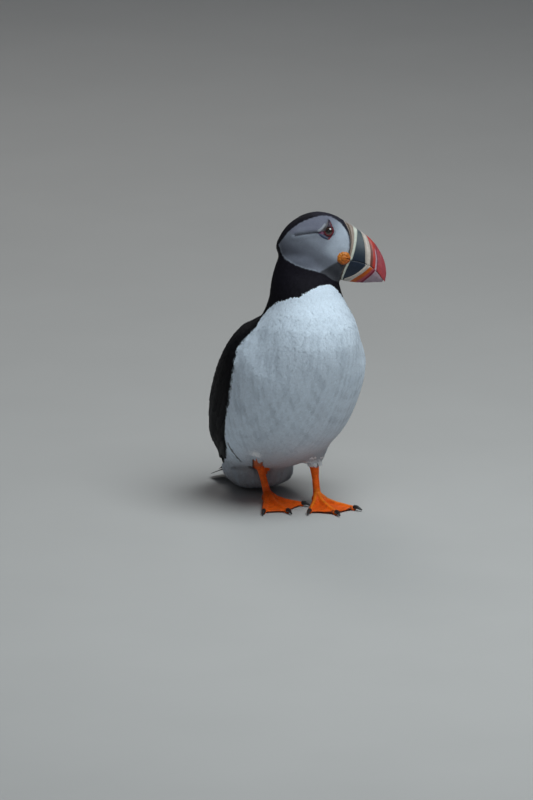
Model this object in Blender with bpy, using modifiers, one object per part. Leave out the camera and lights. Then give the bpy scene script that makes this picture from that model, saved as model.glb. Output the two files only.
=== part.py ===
"""Atlantic puffin in breeding dress, a still life-size model that stands upright and looks to its left.

The bird faces -Y, its left side is +X and Z is up. Its soles stand on z = 0. The feathered body is
modelled whole from lofts, fused and smoothed, and then parted by thin cuts into head, neck, trunk and
thighs. Bill, eyes, wings, tail, legs and claws are shapes of their own, and where one of them sits in
the plumage, the plumage is cut back from it by the clearance. Sizes are in millimetres, and MM makes
them metres when a mesh is built.
"""

import math

import bmesh
import bpy
from mathutils import Matrix, Vector

MM = 0.001
GAP = 0.35  # clearance between neighbouring pieces
THIN_GAP = 0.7  # the same round the thin edges of wings and tail, where a swollen copy grows less
FAR = 200.0  # reach of a cutter past anything it cuts

# The feathered trunk and neck, from the rump up to inside the head. Each row is a section square to the
# line of the rows: side, forward and up of its middle, half width, depth to the back and to the belly.
TRUNK = (
    (0.0, -84.0, 13.0, 13.0, 4.0, 4.0),
    (0.0, -70.0, 21.5, 22.0, 10.0, 11.0),
    (0.0, -51.0, 34.0, 33.5, 22.0, 20.0),
    (0.0, -32.0, 54.0, 45.0, 33.0, 38.0),
    (0.0, -15.0, 80.0, 52.5, 38.0, 51.0),
    (0.0, 0.0, 106.0, 55.0, 37.0, 53.0),
    (0.0, 11.0, 128.0, 52.0, 33.0, 53.0),
    (0.0, 20.0, 147.0, 40.0, 26.0, 48.0),
    (1.0, 19.0, 166.0, 29.0, 23.0, 31.0),
    (4.0, 14.5, 185.0, 25.5, 21.0, 22.0),
    (9.0, 13.0, 203.0, 22.0, 19.0, 19.0),
)
TRUNK_SQUARENESS = 2.15  # superellipse power of a body section, where 2 is an ellipse
# Loose feathers that hang behind the legs and under the tail: middle and radii of each bulge.
UNDERTAIL = (
    ((0.0, -52.0, 17.0), (24.0, 30.0, 15.0)),
    ((0.0, -68.0, 10.5), (18.0, 20.0, 7.5)),
)

# The head turns to the bird's left, looks a little down and leans its crown that way.
HEAD_CENTRE = (24.0, 21.0, 216.0)  # side, forward and up of the point between the eyes
HEAD_YAW, HEAD_PITCH, HEAD_ROLL = 45.0, -24.5, -20.0
# Sections of the feathered head, along its own axis from nape to bill: place, crown, throat, half width.
HEAD = (
    (-34.0, -16.0, -28.0, 5.0),
    (-31.0, -6.0, -32.0, 12.0),
    (-23.0, 5.5, -35.0, 16.5),
    (-12.0, 11.8, -36.0, 18.5),
    (0.0, 13.2, -34.0, 18.5),
    (8.0, 12.9, -32.0, 16.5),
    (16.0, 12.0, -30.0, 13.0),
    (23.0, 10.0, -28.5, 10.5),
    (28.0, 5.0, -24.0, 7.0),
)

# The bill in the head's own frame, millimetres ahead of and above the eyes.
CULMEN = ((2.0, 12.6), (11.6, 12.3), (22.5, 11.0), (33.4, 8.0), (44.0, 1.4), (50.6, -6.2), (53.2, -12.2))
GONYS = ((2.0, -26.0), (20.0, -28.2), (28.0, -26.8), (38.6, -22.5), (48.0, -17.0), (51.6, -15.1))
GAPE = ((2.0, -13.5), (20.0, -12.5), (30.0, -9.8), (37.0, -8.8), (45.0, -10.0), (53.2, -13.8))
BILL_BASE = ((2.6, 16.0), (3.6, 12.6), (10.3, 8.6), (15.2, 4.0), (18.7, -1.5), (20.8, -7.0),
             (21.6, -13.0), (22.2, -20.0), (23.2, -32.0))
BILL_HALF_WIDTH = ((2.0, 8.6), (20.0, 8.8), (30.0, 7.4), (40.0, 5.6), (48.0, 3.8), (52.8, 2.2), (54.3, 1.0))

EYE_RADIUS = 4.7
EYE_SIDE = 13.6  # middle of an eyeball from the head's mid plane
ROSETTE = (18.7, -12.6)  # fleshy disc at the corner of the gape
ROSETTE_SIDE = 10.6
ROSETTE_RADII = (5.4, 4.9, 2.4)

# A folded wing lies on the trunk's side. Place along the trunk's rows, angles of its lower and upper
# edge round the section (0 is straight out to the side, positive towards the belly), and how far its
# outer face stands proud of the trunk.
WING = (
    (6.6, -16.0, -36.0, 1.0),
    (6.3, -8.0, -56.0, 2.4),
    (5.7, 2.0, -68.0, 3.6),
    (5.0, 6.0, -74.0, 4.4),
    (4.0, 6.0, -78.0, 5.2),
    (3.0, 4.0, -78.0, 5.8),
    (2.2, -4.0, -72.0, 5.4),
    (1.5, -14.0, -62.0, 4.4),
    (0.8, -24.0, -48.0, 2.8),
)
WING_SINK = 1.6  # how far its inner face lies in the flank

# The tail, from its root in the rump to its tip: forward, up, half width, half thickness.
TAIL = (
    (-60.0, 26.5, 9.0, 2.0),
    (-72.0, 19.5, 14.0, 1.8),
    (-85.0, 12.4, 17.5, 1.4),
    (-95.0, 7.8, 18.5, 1.0),
    (-100.0, 5.8, 17.5, 0.8),
)
TAIL_ROOF = 0.16  # how far the tail's edges droop, as a share of their distance from the middle

# Legs: side, forward and up of the toe joint and of the heel inside the thigh's feathers.
JOINT = {"right": (-12.0, -16.0, 7.0), "left": (19.5, 6.0, 7.0)}
HEEL = {"right": (-15.0, -25.0, 33.0), "left": (19.5, 1.0, 31.0)}
HIP = {"right": (-22.0, -24.0, 56.0), "left": (23.0, -8.0, 56.0)}
THIGH_RADII = (17.0, 13.0, 7.5, 6.0)  # from the hip down to the feathers' edge at the heel
SHANK_RADII = (3.2, 2.7, 3.8, 3.3)  # toe joint, middle, heel, and inside the feathers
PAD_UP, PAD_RADII = 3.6, (4.4, 4.6, 4.2)  # fleshy pad under the toe joint
FOOT_CUT_UP = 10.5  # height of the cut between shank and foot

# Toes: heading from straight ahead (positive to the bird's left) and length to the claw.
TOES = {
    "right": {"outer": (-32.0, 36.0), "middle": (-3.0, 38.0), "inner": (36.0, 31.0)},
    "left": {"inner": (-39.0, 31.0), "middle": (-5.0, 38.0), "outer": (26.0, 36.0)},
}
TOE_RADII = (3.1, 2.5, 2.4, 2.1, 1.9)
TOE_UP = (7.0, 3.4, 2.0, 1.8, 1.7)  # height of a toe's middle line, from joint to tip
WEB_THICKNESS = 1.1
WEB_REACH = (0.95, 0.91)  # share of a toe's length that the web reaches beside it and between two toes
CLAW_LENGTH = 7.5
CLAW_RADII = (1.75, 1.5, 1.0, 0.45)

# Planes that part the plumage: a point (side, forward, up) and the way up out of the lower piece.
NECK_TOP = ((12.0, 14.0, 192.0), (0.30, 0.10, 0.95))
NECK_FOOT = ((0.0, 20.0, 163.0), (0.0, 0.22, 0.97))
THIGH_ABOVE_HEEL, THIGH_BELOW_HEEL = 12.0, 7.0
THIGH_CUT_HALF = 11.5

SHARP_DEGREES = 45.0  # edges steeper than this stay sharp in a smooth-shaded view

# Triangles that each kind of piece is thinned to.
PLUMAGE_TRIANGLES = 1600
FOOT_TRIANGLES = 480

FINISHES = {
    "white_plumage": ((0.78, 0.80, 0.82), 0.85),
    "black_plumage": ((0.018, 0.017, 0.020), 0.7),
    "face_plumage": ((0.44, 0.46, 0.50), 0.85),
    "bill_red": ((0.60, 0.10, 0.06), 0.4),
    "rosette_yellow": ((0.85, 0.42, 0.02), 0.5),
    "eye_dark": ((0.03, 0.015, 0.012), 0.08),
    "leg_orange": ((0.85, 0.20, 0.01), 0.5),
    "claw_black": ((0.015, 0.013, 0.012), 0.35),
}


def clear_scene():
    for item in list(bpy.data.objects):
        bpy.data.objects.remove(item, do_unlink=True)
    for group in list(bpy.data.collections):
        bpy.data.collections.remove(group)


def collection(name, hidden=False):
    made = bpy.data.collections.new(name)
    bpy.context.scene.collection.children.link(made)
    made.hide_render = hidden
    return made


def finish(name):
    """The Principled material of that name, made once."""
    found = bpy.data.materials.get(name)
    if found:
        return found
    colour, roughness = FINISHES[name]
    made = bpy.data.materials.new(name)
    made.use_nodes = True
    shader = made.node_tree.nodes["Principled BSDF"]
    shader.inputs["Base Color"].default_value = (*colour, 1.0)
    shader.inputs["Roughness"].default_value = roughness
    shader.inputs["Metallic"].default_value = 0.0
    return made


def paint(item, material):
    item.data.materials.clear()
    item.data.materials.append(finish(material))


def place(side, forward, up):
    """A point of the bird's frame, in millimetres."""
    return Vector((side, -forward, up))


def mix(a, b, share):
    return a + (b - a) * share


def along(table, at):
    """The value at `at` of a smooth curve through (place, value) pairs."""
    places = [row[0] for row in table]
    step = max(i for i in range(len(places) - 1) if i == 0 or places[i] <= at)
    share = min(max((at - places[step]) / (places[step + 1] - places[step]), 0.0), 1.0)
    return smooth_between([row[1:] for row in table], step, share)[0]


def smooth_between(rows, step, share):
    """The row a share of the way from rows[step] to the next, on a Catmull-Rom curve."""
    last = len(rows) - 1
    before, here = rows[max(step - 1, 0)], rows[step]
    there, after = rows[min(step + 1, last)], rows[min(step + 2, last)]
    square, cube = share**2, share**3
    weights = (
        (2 * square - share - cube) / 2,
        (2 - 5 * square + 3 * cube) / 2,
        (share + 4 * square - 3 * cube) / 2,
        (cube - square) / 2,
    )
    return tuple(
        sum(weight * value for weight, value in zip(weights, values))
        for values in zip(before, here, there, after)
    )


def row_at(rows, at):
    step = min(int(at), len(rows) - 2)
    return smooth_between(rows, step, at - step)


def refined(rows, parts):
    """The rows with parts - 1 smooth rows between each two."""
    return [row_at(rows, i / parts) for i in range((len(rows) - 1) * parts + 1)]


def mesh_object(name, mesh_data, group, material=None):
    item = bpy.data.objects.new(name, mesh_data)
    group.objects.link(item)
    if material:
        paint(item, material)
    return item


def loft(name, rings, group, material=None):
    """A closed solid over rings of equally many points, each given in millimetres."""
    shape = bmesh.new()
    loops = [[shape.verts.new(point * MM) for point in ring] for ring in rings]
    count = len(rings[0])
    for lower, upper in zip(loops, loops[1:]):
        for i in range(count):
            j = (i + 1) % count
            shape.faces.new((lower[i], lower[j], upper[j], upper[i]))
    shape.faces.new(loops[0][::-1])
    shape.faces.new(loops[-1])
    bmesh.ops.recalc_face_normals(shape, faces=shape.faces)
    data = bpy.data.meshes.new(name)
    shape.to_mesh(data)
    shape.free()
    return mesh_object(name, data, group, material)


def superellipse(count, power):
    """Unit points round a superellipse, from straight out to the side towards the belly."""
    for i in range(count):
        angle = 2 * math.pi * i / count
        c, s = math.cos(angle), math.sin(angle)
        yield math.copysign(abs(c) ** (2 / power), c), math.copysign(abs(s) ** (2 / power), s)


def tube_rings(points, radii, count=16, flatten=1.0):
    """Round sections square to a line of points, for a tapering limb."""
    rings = []
    for i, (point, radius) in enumerate(zip(points, radii)):
        way = (points[min(i + 1, len(points) - 1)] - points[max(i - 1, 0)]).normalized()
        across = way.cross(Vector((0, 0, 1)))
        across = across.normalized() if across.length > 0.05 else Vector((1, 0, 0))
        over = across.cross(way).normalized()
        rings.append([
            point + across * radius * math.cos(2 * math.pi * k / count)
            + over * radius * flatten * math.sin(2 * math.pi * k / count)
            for k in range(count)
        ])
    return rings


def trunk_frame(at):
    """Middle, belly direction and sizes of the trunk's section at a place along its rows."""
    row = row_at(TRUNK, at)
    ahead = row_at(TRUNK, min(at + 0.05, len(TRUNK) - 1.001))
    behind = row_at(TRUNK, max(at - 0.05, 0.0))
    way = place(*ahead[:3]) - place(*behind[:3])
    to_belly = Vector((1, 0, 0)).cross(way).normalized()
    return place(*row[:3]), to_belly, *row[3:]


def trunk_ring(at, count=40):
    middle, to_belly, half_width, back, belly = trunk_frame(at)
    return [
        middle + Vector((1, 0, 0)) * half_width * c + to_belly * (belly if s > 0 else back) * s
        for c, s in superellipse(count, TRUNK_SQUARENESS)
    ]


def on_trunk(at, degrees, proud):
    """A point on the trunk's left side at that angle of its section, raised off it by `proud`."""
    middle, to_belly, half_width, back, belly = trunk_frame(at)
    angle = math.radians(degrees)
    c, s = math.cos(angle), math.sin(angle)
    depth = belly if s > 0 else back
    x = math.copysign(abs(c) ** (2 / TRUNK_SQUARENESS), c) * half_width
    y = math.copysign(abs(s) ** (2 / TRUNK_SQUARENESS), s) * depth
    outward = (Vector((1, 0, 0)) * x / half_width**2 + to_belly * y / depth**2).normalized()
    return middle + Vector((1, 0, 0)) * x + to_belly * y + outward * proud


def head_frame():
    """Turns head millimetres (ahead, left, up) into the bird's frame."""
    turn = (
        Matrix.Rotation(math.radians(HEAD_YAW), 4, "Z")
        @ Matrix.Rotation(math.radians(-HEAD_PITCH), 4, "X")
        @ Matrix.Rotation(math.radians(-HEAD_ROLL), 4, "Y")
    )
    ahead_is_minus_y = Matrix(((0, 1, 0, 0), (-1, 0, 0, 0), (0, 0, 1, 0), (0, 0, 0, 1)))
    return Matrix.Translation(place(*HEAD_CENTRE)) @ turn @ ahead_is_minus_y


def head_point(ahead, left, up):
    return head_frame() @ Vector((ahead, left, up))


def fused(name, items, voxel, smoothing, group):
    """The items as one closed skin, with the joints between them smoothed over."""
    joined = bmesh.new()
    for item in items:
        joined.from_mesh(item.data)
    data = bpy.data.meshes.new(name)
    joined.to_mesh(data)
    joined.free()
    for item in items:
        bpy.data.objects.remove(item, do_unlink=True)
    made = mesh_object(name, data, group)
    remesh = made.modifiers.new("fuse", "REMESH")
    remesh.mode = "VOXEL"
    remesh.voxel_size = voxel * MM
    smooth = made.modifiers.new("smooth", "SMOOTH")
    smooth.factor, smooth.iterations = 0.5, smoothing
    return settled(made)


def thinned(item, triangles):
    """The item with about that many triangles."""
    item.data.calc_loop_triangles()
    thin = item.modifiers.new("thin", "DECIMATE")
    thin.ratio = min(1.0, triangles / len(item.data.loop_triangles))
    thin.use_collapse_triangulate = True
    return settled(item)


def settled(item):
    """The item with its modifiers made part of its mesh."""
    bpy.context.view_layer.update()
    graph = bpy.context.evaluated_depsgraph_get()
    data = bpy.data.meshes.new_from_object(item.evaluated_get(graph))
    item.modifiers.clear()
    item.data = data
    return item


def copy_of(item, name, group):
    twin = item.copy()
    twin.data = item.data.copy()
    twin.name = name
    group.objects.link(twin)
    return twin


def as_cutter(item):
    item.hide_render, item.display_type = True, "WIRE"
    return item


def swollen(item, group, by):
    """A cutter with the item's shape, larger all round by the clearance."""
    cutter = copy_of(item, item.name + ".room", group)
    grow = cutter.modifiers.new("grow", "DISPLACE")
    grow.strength, grow.mid_level = by * MM, 0.0
    return as_cutter(settled(cutter))


def combine(item, other, operation="DIFFERENCE"):
    """A Boolean made part of the item. The exact solver loses the whole plumage after a few cuts."""
    join = item.modifiers.new(operation.lower(), "BOOLEAN")
    join.operation, join.object, join.solver = operation, other, "MANIFOLD"
    return settled(item)


def plane_cut(item, point, way, keep_above):
    """Keeps the part of the item on one side of a plane and closes it there."""
    shape = bmesh.new()
    shape.from_mesh(item.data)
    everything = list(shape.verts) + list(shape.edges) + list(shape.faces)
    cut = bmesh.ops.bisect_plane(
        shape, geom=everything, dist=1e-7, plane_co=point * MM, plane_no=way,
        clear_inner=keep_above, clear_outer=not keep_above,
    )
    rim = [e for e in cut["geom_cut"] if isinstance(e, bmesh.types.BMEdge) and e.is_boundary]
    bmesh.ops.edgeloop_fill(shape, edges=rim)
    bmesh.ops.triangulate(shape, faces=shape.faces)
    bmesh.ops.recalc_face_normals(shape, faces=shape.faces)
    shape.to_mesh(item.data)
    shape.free()
    return item


def parted(item, upper_name, plane, group):
    """Parts the item at a plane, and returns the upper piece. The item keeps what lies below."""
    point, way = place(*plane[0]), place(*plane[1]).normalized()
    upper = copy_of(item, upper_name, group)
    plane_cut(upper, point + way * GAP / 2, way, keep_above=True)
    plane_cut(item, point - way * GAP / 2, way, keep_above=False)
    return upper


def head_cutter(name, line, reach, group):
    """A cutter right through the head: a line of (ahead, up) points, swept as far as `reach` from it."""
    rings = []
    for ahead, up in line:
        corners = ((ahead, up), (ahead + reach[0], up + reach[1]))
        rings.append([head_point(corners[far][0], side * FAR / 4, corners[far][1])
                      for far, side in ((0, 1), (0, -1), (1, -1), (1, 1))])
    return as_cutter(loft(name, rings, group))


def feathered_body(group):
    """Trunk, neck, head and thighs as one skin of plumage."""
    last = len(TRUNK) - 1
    body = loft("body", [trunk_ring(i / 4) for i in range(last * 4)], group)
    sections = []
    for ahead, crown, throat, half_width in refined(HEAD, 3):
        middle, half_height = (crown + throat) / 2, (crown - throat) / 2
        sections.append([
            head_point(ahead, half_width * c, middle + half_height * s) for c, s in superellipse(36, 2.2)
        ])
    head = loft("head_plumage", sections, group)
    thighs = []
    for side in ("right", "left"):
        hip, heel = place(*HIP[side]), place(*HEEL[side])
        points = [mix(hip, heel, share) for share in (0.0, 0.5, 0.92, 1.06)]
        thighs.append(loft(f"thigh_{side}_plumage", tube_rings(points, THIGH_RADII, 20), group))
    bulges = [
        ball(f"undertail_{i}", place(*middle), radii, Matrix.Identity(4), group, "white_plumage")
        for i, (middle, radii) in enumerate(UNDERTAIL)
    ]
    return fused("trunk", [body, head, *bulges, *thighs], voxel=1.7, smoothing=10, group=group)


def mandible(name, edge, way, length, group, count=6, places=16):
    """One half of the bill: sections from its ridge or keel (the edge) to the gape, closed flat there."""
    rings = []
    for i in range(places):
        ahead = mix(2.0, length, math.sin(math.pi / 2 * i / (places - 1)))
        rim, gape = along(edge, ahead), along(GAPE, ahead) + way * GAP / 2
        half_width = along(BILL_HALF_WIDTH, ahead)
        half = []
        for k in range(count + 1):
            reach = math.cos(math.pi / 2 * k / count)
            half.append((half_width * max(1 - reach**1.8, 0.0) ** 0.75, mix(gape, rim, reach)))
        left = [head_point(ahead, out, up) for out, up in half]
        right = [head_point(ahead, -out, up) for out, up in half[:0:-1]]
        rings.append(left + right)
    return loft(name, rings, group, "bill_red")


def make_bill(group, cutters):
    """The two mandibles, cut at the base to the line of the face's feathers."""
    front = head_cutter("bill_front", BILL_BASE, (FAR / 2, 0), cutters)
    upper = combine(mandible("bill_upper", CULMEN, 1, CULMEN[-1][0], group), front, "INTERSECT")
    lower = combine(mandible("bill_lower", GONYS, -1, GONYS[-1][0], group), front, "INTERSECT")
    notch = head_cutter("bill_notch", [(ahead - GAP, up) for ahead, up in BILL_BASE], (FAR / 2, 0), cutters)
    return upper, lower, notch


def ball(name, centre, radii, turn, group, material):
    shape = bmesh.new()
    bmesh.ops.create_uvsphere(shape, u_segments=14, v_segments=8, radius=1.0)
    scale = Matrix.Diagonal((*[radius * MM for radius in radii], 1.0))
    shape.transform(Matrix.Translation(centre * MM) @ turn @ scale)
    data = bpy.data.meshes.new(name)
    shape.to_mesh(data)
    shape.free()
    return mesh_object(name, data, group, material)


def make_eyes_and_rosettes(group):
    turn = head_frame().to_3x3().to_4x4()
    made = []
    for side, sign in (("right", -1), ("left", 1)):
        eye = head_point(0, sign * EYE_SIDE, 0)
        made.append(ball(f"eye_{side}", eye, (EYE_RADIUS,) * 3, turn, group, "eye_dark"))
    for side, sign in (("right", -1), ("left", 1)):
        ahead, up = ROSETTE
        spread, height, depth = ROSETTE_RADII
        lean = Matrix.Rotation(math.radians(-sign * 14), 4, "Z")
        centre, radii = head_point(ahead, sign * ROSETTE_SIDE, up), (spread, depth, height)
        made.append(ball(f"rosette_{side}", centre, radii, turn @ lean, group, "rosette_yellow"))
    return made


def wing_rings(side_sign, across=7):
    """Closed sections of a folded wing, from the shoulder to the tip of the flight feathers."""
    rings = []
    for at, lower, upper, proud in refined(WING, 2):
        outer, inner = [], []
        for i in range(across + 1):
            share = i / across
            bulge = math.sqrt(max(1 - (2 * share - 1) ** 4, 0.0))
            angle = mix(lower, upper, share)
            outer.append(on_trunk(at, angle, mix(0.2, proud, bulge)))
            inner.append(on_trunk(at, angle, mix(-0.6, -WING_SINK, bulge)))
        ring = outer + inner[::-1]
        rings.append([Vector((point.x * side_sign, point.y, point.z)) for point in ring])
    return rings


def make_wings(group):
    return [
        loft("wing_right", wing_rings(-1), group, "black_plumage"),
        loft("wing_left", wing_rings(1), group, "black_plumage"),
    ]


def make_tail(group):
    rings = []
    rows = refined(TAIL, 2)
    for i, (forward, up, half_width, half_thick) in enumerate(rows):
        ahead, behind = rows[max(i - 1, 0)], rows[min(i + 1, len(rows) - 1)]
        way = (place(0, behind[0], behind[1]) - place(0, ahead[0], ahead[1])).normalized()
        over = Vector((1, 0, 0)).cross(way).normalized()
        over = over if over.z > 0 else -over
        ring = []
        for c, s in superellipse(16, 2.6):
            droop = TAIL_ROOF * abs(half_width * c)
            ring.append(place(half_width * c, forward, up) + over * (half_thick * s - droop))
        rings.append(ring)
    return loft("tail", rings, group, "black_plumage")


def toe_line(side, toe):
    """Points down the middle of a toe, from the joint to its claw."""
    heading, length = TOES[side][toe]
    joint = place(*JOINT[side])
    way = place(math.sin(math.radians(heading)), math.cos(math.radians(heading)), 0)
    line = []
    for i, up in enumerate(TOE_UP):
        point = joint + way * length * i / (len(TOE_UP) - 1)
        line.append(Vector((point.x, point.y, up)))
    return line


def web_between(side, first, second, group, across=8, along_toe=8):
    """The web between two toes as a plate over a grid of points."""
    lines = toe_line(side, first), toe_line(side, second)
    shape = bmesh.new()
    grid = []
    for i in range(along_toe + 1):
        row = []
        for j in range(across + 1):
            share = j / across
            reach = mix(WEB_REACH[0], WEB_REACH[1], math.sin(math.pi * share))
            at = (len(TOE_UP) - 1) * reach * i / along_toe
            ends = [Vector(row_at([tuple(point) for point in line], at)) for line in lines]
            row.append(shape.verts.new((mix(ends[0], ends[1], share)) * MM))
        grid.append(row)
    for near, far in zip(grid, grid[1:]):
        for j in range(across):
            shape.faces.new((near[j], near[j + 1], far[j + 1], far[j]))
    bmesh.ops.remove_doubles(shape, verts=shape.verts, dist=1e-6)
    bmesh.ops.recalc_face_normals(shape, faces=shape.faces)
    data = bpy.data.meshes.new("web")
    shape.to_mesh(data)
    shape.free()
    web = mesh_object(f"web_{first}_{second}", data, group)
    thick = web.modifiers.new("thickness", "SOLIDIFY")
    thick.thickness, thick.offset = WEB_THICKNESS * MM, 0.0
    return settled(web)


def make_claw(side, toe, group, swell=0.0):
    """A curved claw that grows out of the toe's tip and stays clear of the floor."""
    line = toe_line(side, toe)
    way = (line[-1] - line[-2]).normalized()
    points, radii = [], []
    for i, radius in enumerate(CLAW_RADII):
        share = i / (len(CLAW_RADII) - 1)
        hump = 0.9 * math.sin(math.pi * min(share + 0.15, 1.0)) - 0.7 * share**2
        start = line[-1] - way * (1.2 + swell)
        points.append(start + way * CLAW_LENGTH * share + Vector((0, 0, 0.45 + hump)))
        radii.append(radius + swell)
    fine = refined([(*point, radius) for point, radius in zip(points, radii)], 2)
    rings = tube_rings([Vector(row[:3]) for row in fine], [row[3] for row in fine], 8)
    return loft(f"claw_{side}_{toe}", rings, group, "claw_black")


def shank_tube(name, side, group, swell=0.0):
    """The bare shank, from the toe joint up into the thigh's feathers."""
    joint, heel = place(*JOINT[side]), place(*HEEL[side])
    line = [joint, mix(joint, heel, 0.5), mix(joint, heel, 0.9), mix(joint, heel, 1.12)]
    rows = [(*point, radius + swell) for point, radius in zip(line, SHANK_RADII)]
    fine = refined(rows, 2)
    return loft(name, tube_rings([Vector(row[:3]) for row in fine], [row[3] for row in fine], 12), group)


def make_leg(side, group, cutters):
    """Shank, webbed foot and claws of one leg, standing on flats at z = 0."""
    pieces = [shank_tube("ankle", side, group)]
    for toe in TOES[side]:
        pieces.append(loft("toe", tube_rings(toe_line(side, toe), TOE_RADII, 16), group))
    names = list(TOES[side])
    pieces += [web_between(side, a, b, group) for a, b in zip(names, names[1:])]
    pad = place(JOINT[side][0], JOINT[side][1], PAD_UP)
    pieces.append(ball("pad", pad, PAD_RADII, Matrix.Identity(4), group, "leg_orange"))
    foot = thinned(fused(f"foot_{side}", pieces, voxel=0.42, smoothing=3, group=group), FOOT_TRIANGLES)
    up = Vector((0, 0, 1))
    plane_cut(foot, Vector((0, 0, 0)), up, keep_above=True)
    plane_cut(foot, up * (FOOT_CUT_UP - GAP / 2), up, keep_above=False)
    shank = shank_tube(f"shank_{side}", side, group)
    plane_cut(shank, up * (FOOT_CUT_UP + GAP / 2), up, keep_above=True)
    for toe in TOES[side]:
        make_claw(side, toe, group)
        combine(foot, as_cutter(make_claw(side, toe, cutters, swell=GAP)))
    paint(foot, "leg_orange")
    paint(shank, "leg_orange")


def part_thighs(trunk, group, cutters):
    """Cuts the feathered thighs off the trunk where they leave the belly."""
    thighs = []
    for side in ("right", "left"):
        middle = mix(place(*HIP[side]), place(*HEEL[side]), 0.75)
        for name, grow in (("cell", -GAP / 2), ("room", GAP / 2)):
            half = THIGH_CUT_HALF + grow
            top = HEEL[side][2] + THIGH_ABOVE_HEEL + grow
            bottom = HEEL[side][2] - THIGH_BELOW_HEEL - grow
            rings = [
                [Vector((middle.x + half * x, middle.y + half * y, up)) for x, y in superellipse(20, 2.6)]
                for up in (bottom, top)
            ]
            cutter = as_cutter(loft(f"thigh_{side}.{name}", rings, cutters))
            if name == "cell":
                thighs.append(combine(copy_of(trunk, f"thigh_{side}", group), cutter, "INTERSECT"))
            else:
                combine(trunk, cutter)
    return thighs


def centre_on_origin(group):
    """Moves the bird along the floor until its box's middle is over the origin, and shades it smooth."""
    corners = [corner.co for item in group.objects for corner in item.data.vertices]
    middle = [(min(c[axis] for c in corners) + max(c[axis] for c in corners)) / 2 for axis in (0, 1)]
    shift = Matrix.Translation((-middle[0], -middle[1], 0.0))
    for item in group.objects:
        item.data.transform(shift)
        item.data.shade_smooth()
        item.data.set_sharp_from_angle(angle=math.radians(SHARP_DEGREES))


def build():
    clear_scene()
    bird, cutters = collection("atlantic_puffin"), collection("cutters", hidden=True)
    upper, lower, notch = make_bill(bird, cutters)
    eyes_and_rosettes = make_eyes_and_rosettes(bird)
    wings = make_wings(bird)
    tail = make_tail(bird)
    trunk = thinned(feathered_body(bird), PLUMAGE_TRIANGLES)
    for side in ("right", "left"):
        make_leg(side, bird, cutters)
    for item in (*wings, tail):
        combine(trunk, swollen(item, cutters, THIN_GAP))
    for side in ("right", "left"):
        combine(trunk, as_cutter(shank_tube(f"shank_{side}.room", side, cutters, swell=GAP)))
    combine(trunk, notch)
    neck = parted(trunk, "neck", NECK_FOOT, bird)
    head = parted(neck, "head", NECK_TOP, bird)
    for item in eyes_and_rosettes:
        combine(head, swollen(item, cutters, GAP))
    for item in eyes_and_rosettes[2:]:
        room = bpy.data.objects[item.name + ".room"]
        combine(upper, room)
        combine(lower, room)
    thighs = part_thighs(trunk, bird, cutters)
    for item in (trunk, *thighs):
        paint(item, "white_plumage")
    paint(neck, "black_plumage")
    paint(head, "face_plumage")
    centre_on_origin(bird)


build()
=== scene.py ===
"""A still, life-size atlantic puffin in breeding dress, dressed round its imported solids.

One skin takes the place of the solids of flesh and feather. It lies inside them by the depth of the
plumage, and thin solid vanes lie over it, from the velvet of the face to the flight feathers and the
tail. Skin and vanes take their colours from the same markings. Bill, rosettes, eyes and claws are
pieces of their own. Numbers are millimetres where MM turns them into metres.
"""

import math

import bmesh
import bpy
import numpy as np
from mathutils import Matrix, Vector
from mathutils.bvhtree import BVHTree


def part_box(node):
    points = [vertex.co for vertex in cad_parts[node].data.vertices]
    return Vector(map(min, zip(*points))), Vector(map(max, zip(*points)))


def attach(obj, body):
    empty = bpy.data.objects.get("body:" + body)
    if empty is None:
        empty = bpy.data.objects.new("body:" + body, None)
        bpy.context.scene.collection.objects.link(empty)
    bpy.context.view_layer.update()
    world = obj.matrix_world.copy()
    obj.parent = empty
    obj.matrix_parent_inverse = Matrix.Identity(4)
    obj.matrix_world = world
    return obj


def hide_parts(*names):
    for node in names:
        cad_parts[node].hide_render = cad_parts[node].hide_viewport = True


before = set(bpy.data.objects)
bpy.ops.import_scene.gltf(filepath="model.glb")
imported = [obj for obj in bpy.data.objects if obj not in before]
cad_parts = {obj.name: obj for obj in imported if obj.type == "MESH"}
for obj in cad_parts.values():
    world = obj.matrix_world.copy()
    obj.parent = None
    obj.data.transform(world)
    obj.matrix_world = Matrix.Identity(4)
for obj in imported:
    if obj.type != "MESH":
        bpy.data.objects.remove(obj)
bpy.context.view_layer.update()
MM = 0.001
DRAW = np.random.default_rng(29)
SIDES = (("right", -1), ("left", 1))

# ---- The bird's own frames ----


def box_middle(node):
    low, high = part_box(node)
    return (low + high) / 2


HEAD_YAW, HEAD_PITCH, HEAD_ROLL = 45.0, -24.5, -20.0
HEAD_MIDDLE = (box_middle("eye_right") + box_middle("eye_left")) / 2
TRUNK_ORIGIN = HEAD_MIDDLE - Vector((24.0, -21.0, 216.0)) * MM

# Trunk and neck from the rump to the head. Each row is a section: side, forward and up of its middle,
# half width, depth to the back and depth to the belly.
TRUNK = (
    (0.0, -84.0, 13.0, 13.0, 4.0, 4.0),
    (0.0, -70.0, 21.5, 22.0, 10.0, 11.0),
    (0.0, -51.0, 34.0, 33.5, 22.0, 20.0),
    (0.0, -32.0, 54.0, 45.0, 33.0, 38.0),
    (0.0, -15.0, 80.0, 52.5, 38.0, 51.0),
    (0.0, 0.0, 106.0, 55.0, 37.0, 53.0),
    (0.0, 11.0, 128.0, 52.0, 33.0, 53.0),
    (0.0, 20.0, 147.0, 40.0, 26.0, 48.0),
    (1.0, 19.0, 166.0, 29.0, 23.0, 31.0),
    (4.0, 14.5, 185.0, 25.5, 21.0, 22.0),
    (9.0, 13.0, 203.0, 22.0, 19.0, 19.0),
)
TRUNK_STEPS = 8  # sections worked out for each row


def ease(x):
    """0 below 0, 1 above 1, and smooth between."""
    x = np.clip(x, 0.0, 1.0)
    return x * x * (3 - 2 * x)


def mix(a, b, share):
    return a + (b - a) * share


def unit(vectors):
    return vectors / np.maximum(np.linalg.norm(vectors, axis=-1, keepdims=True), 1e-12)


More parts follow.
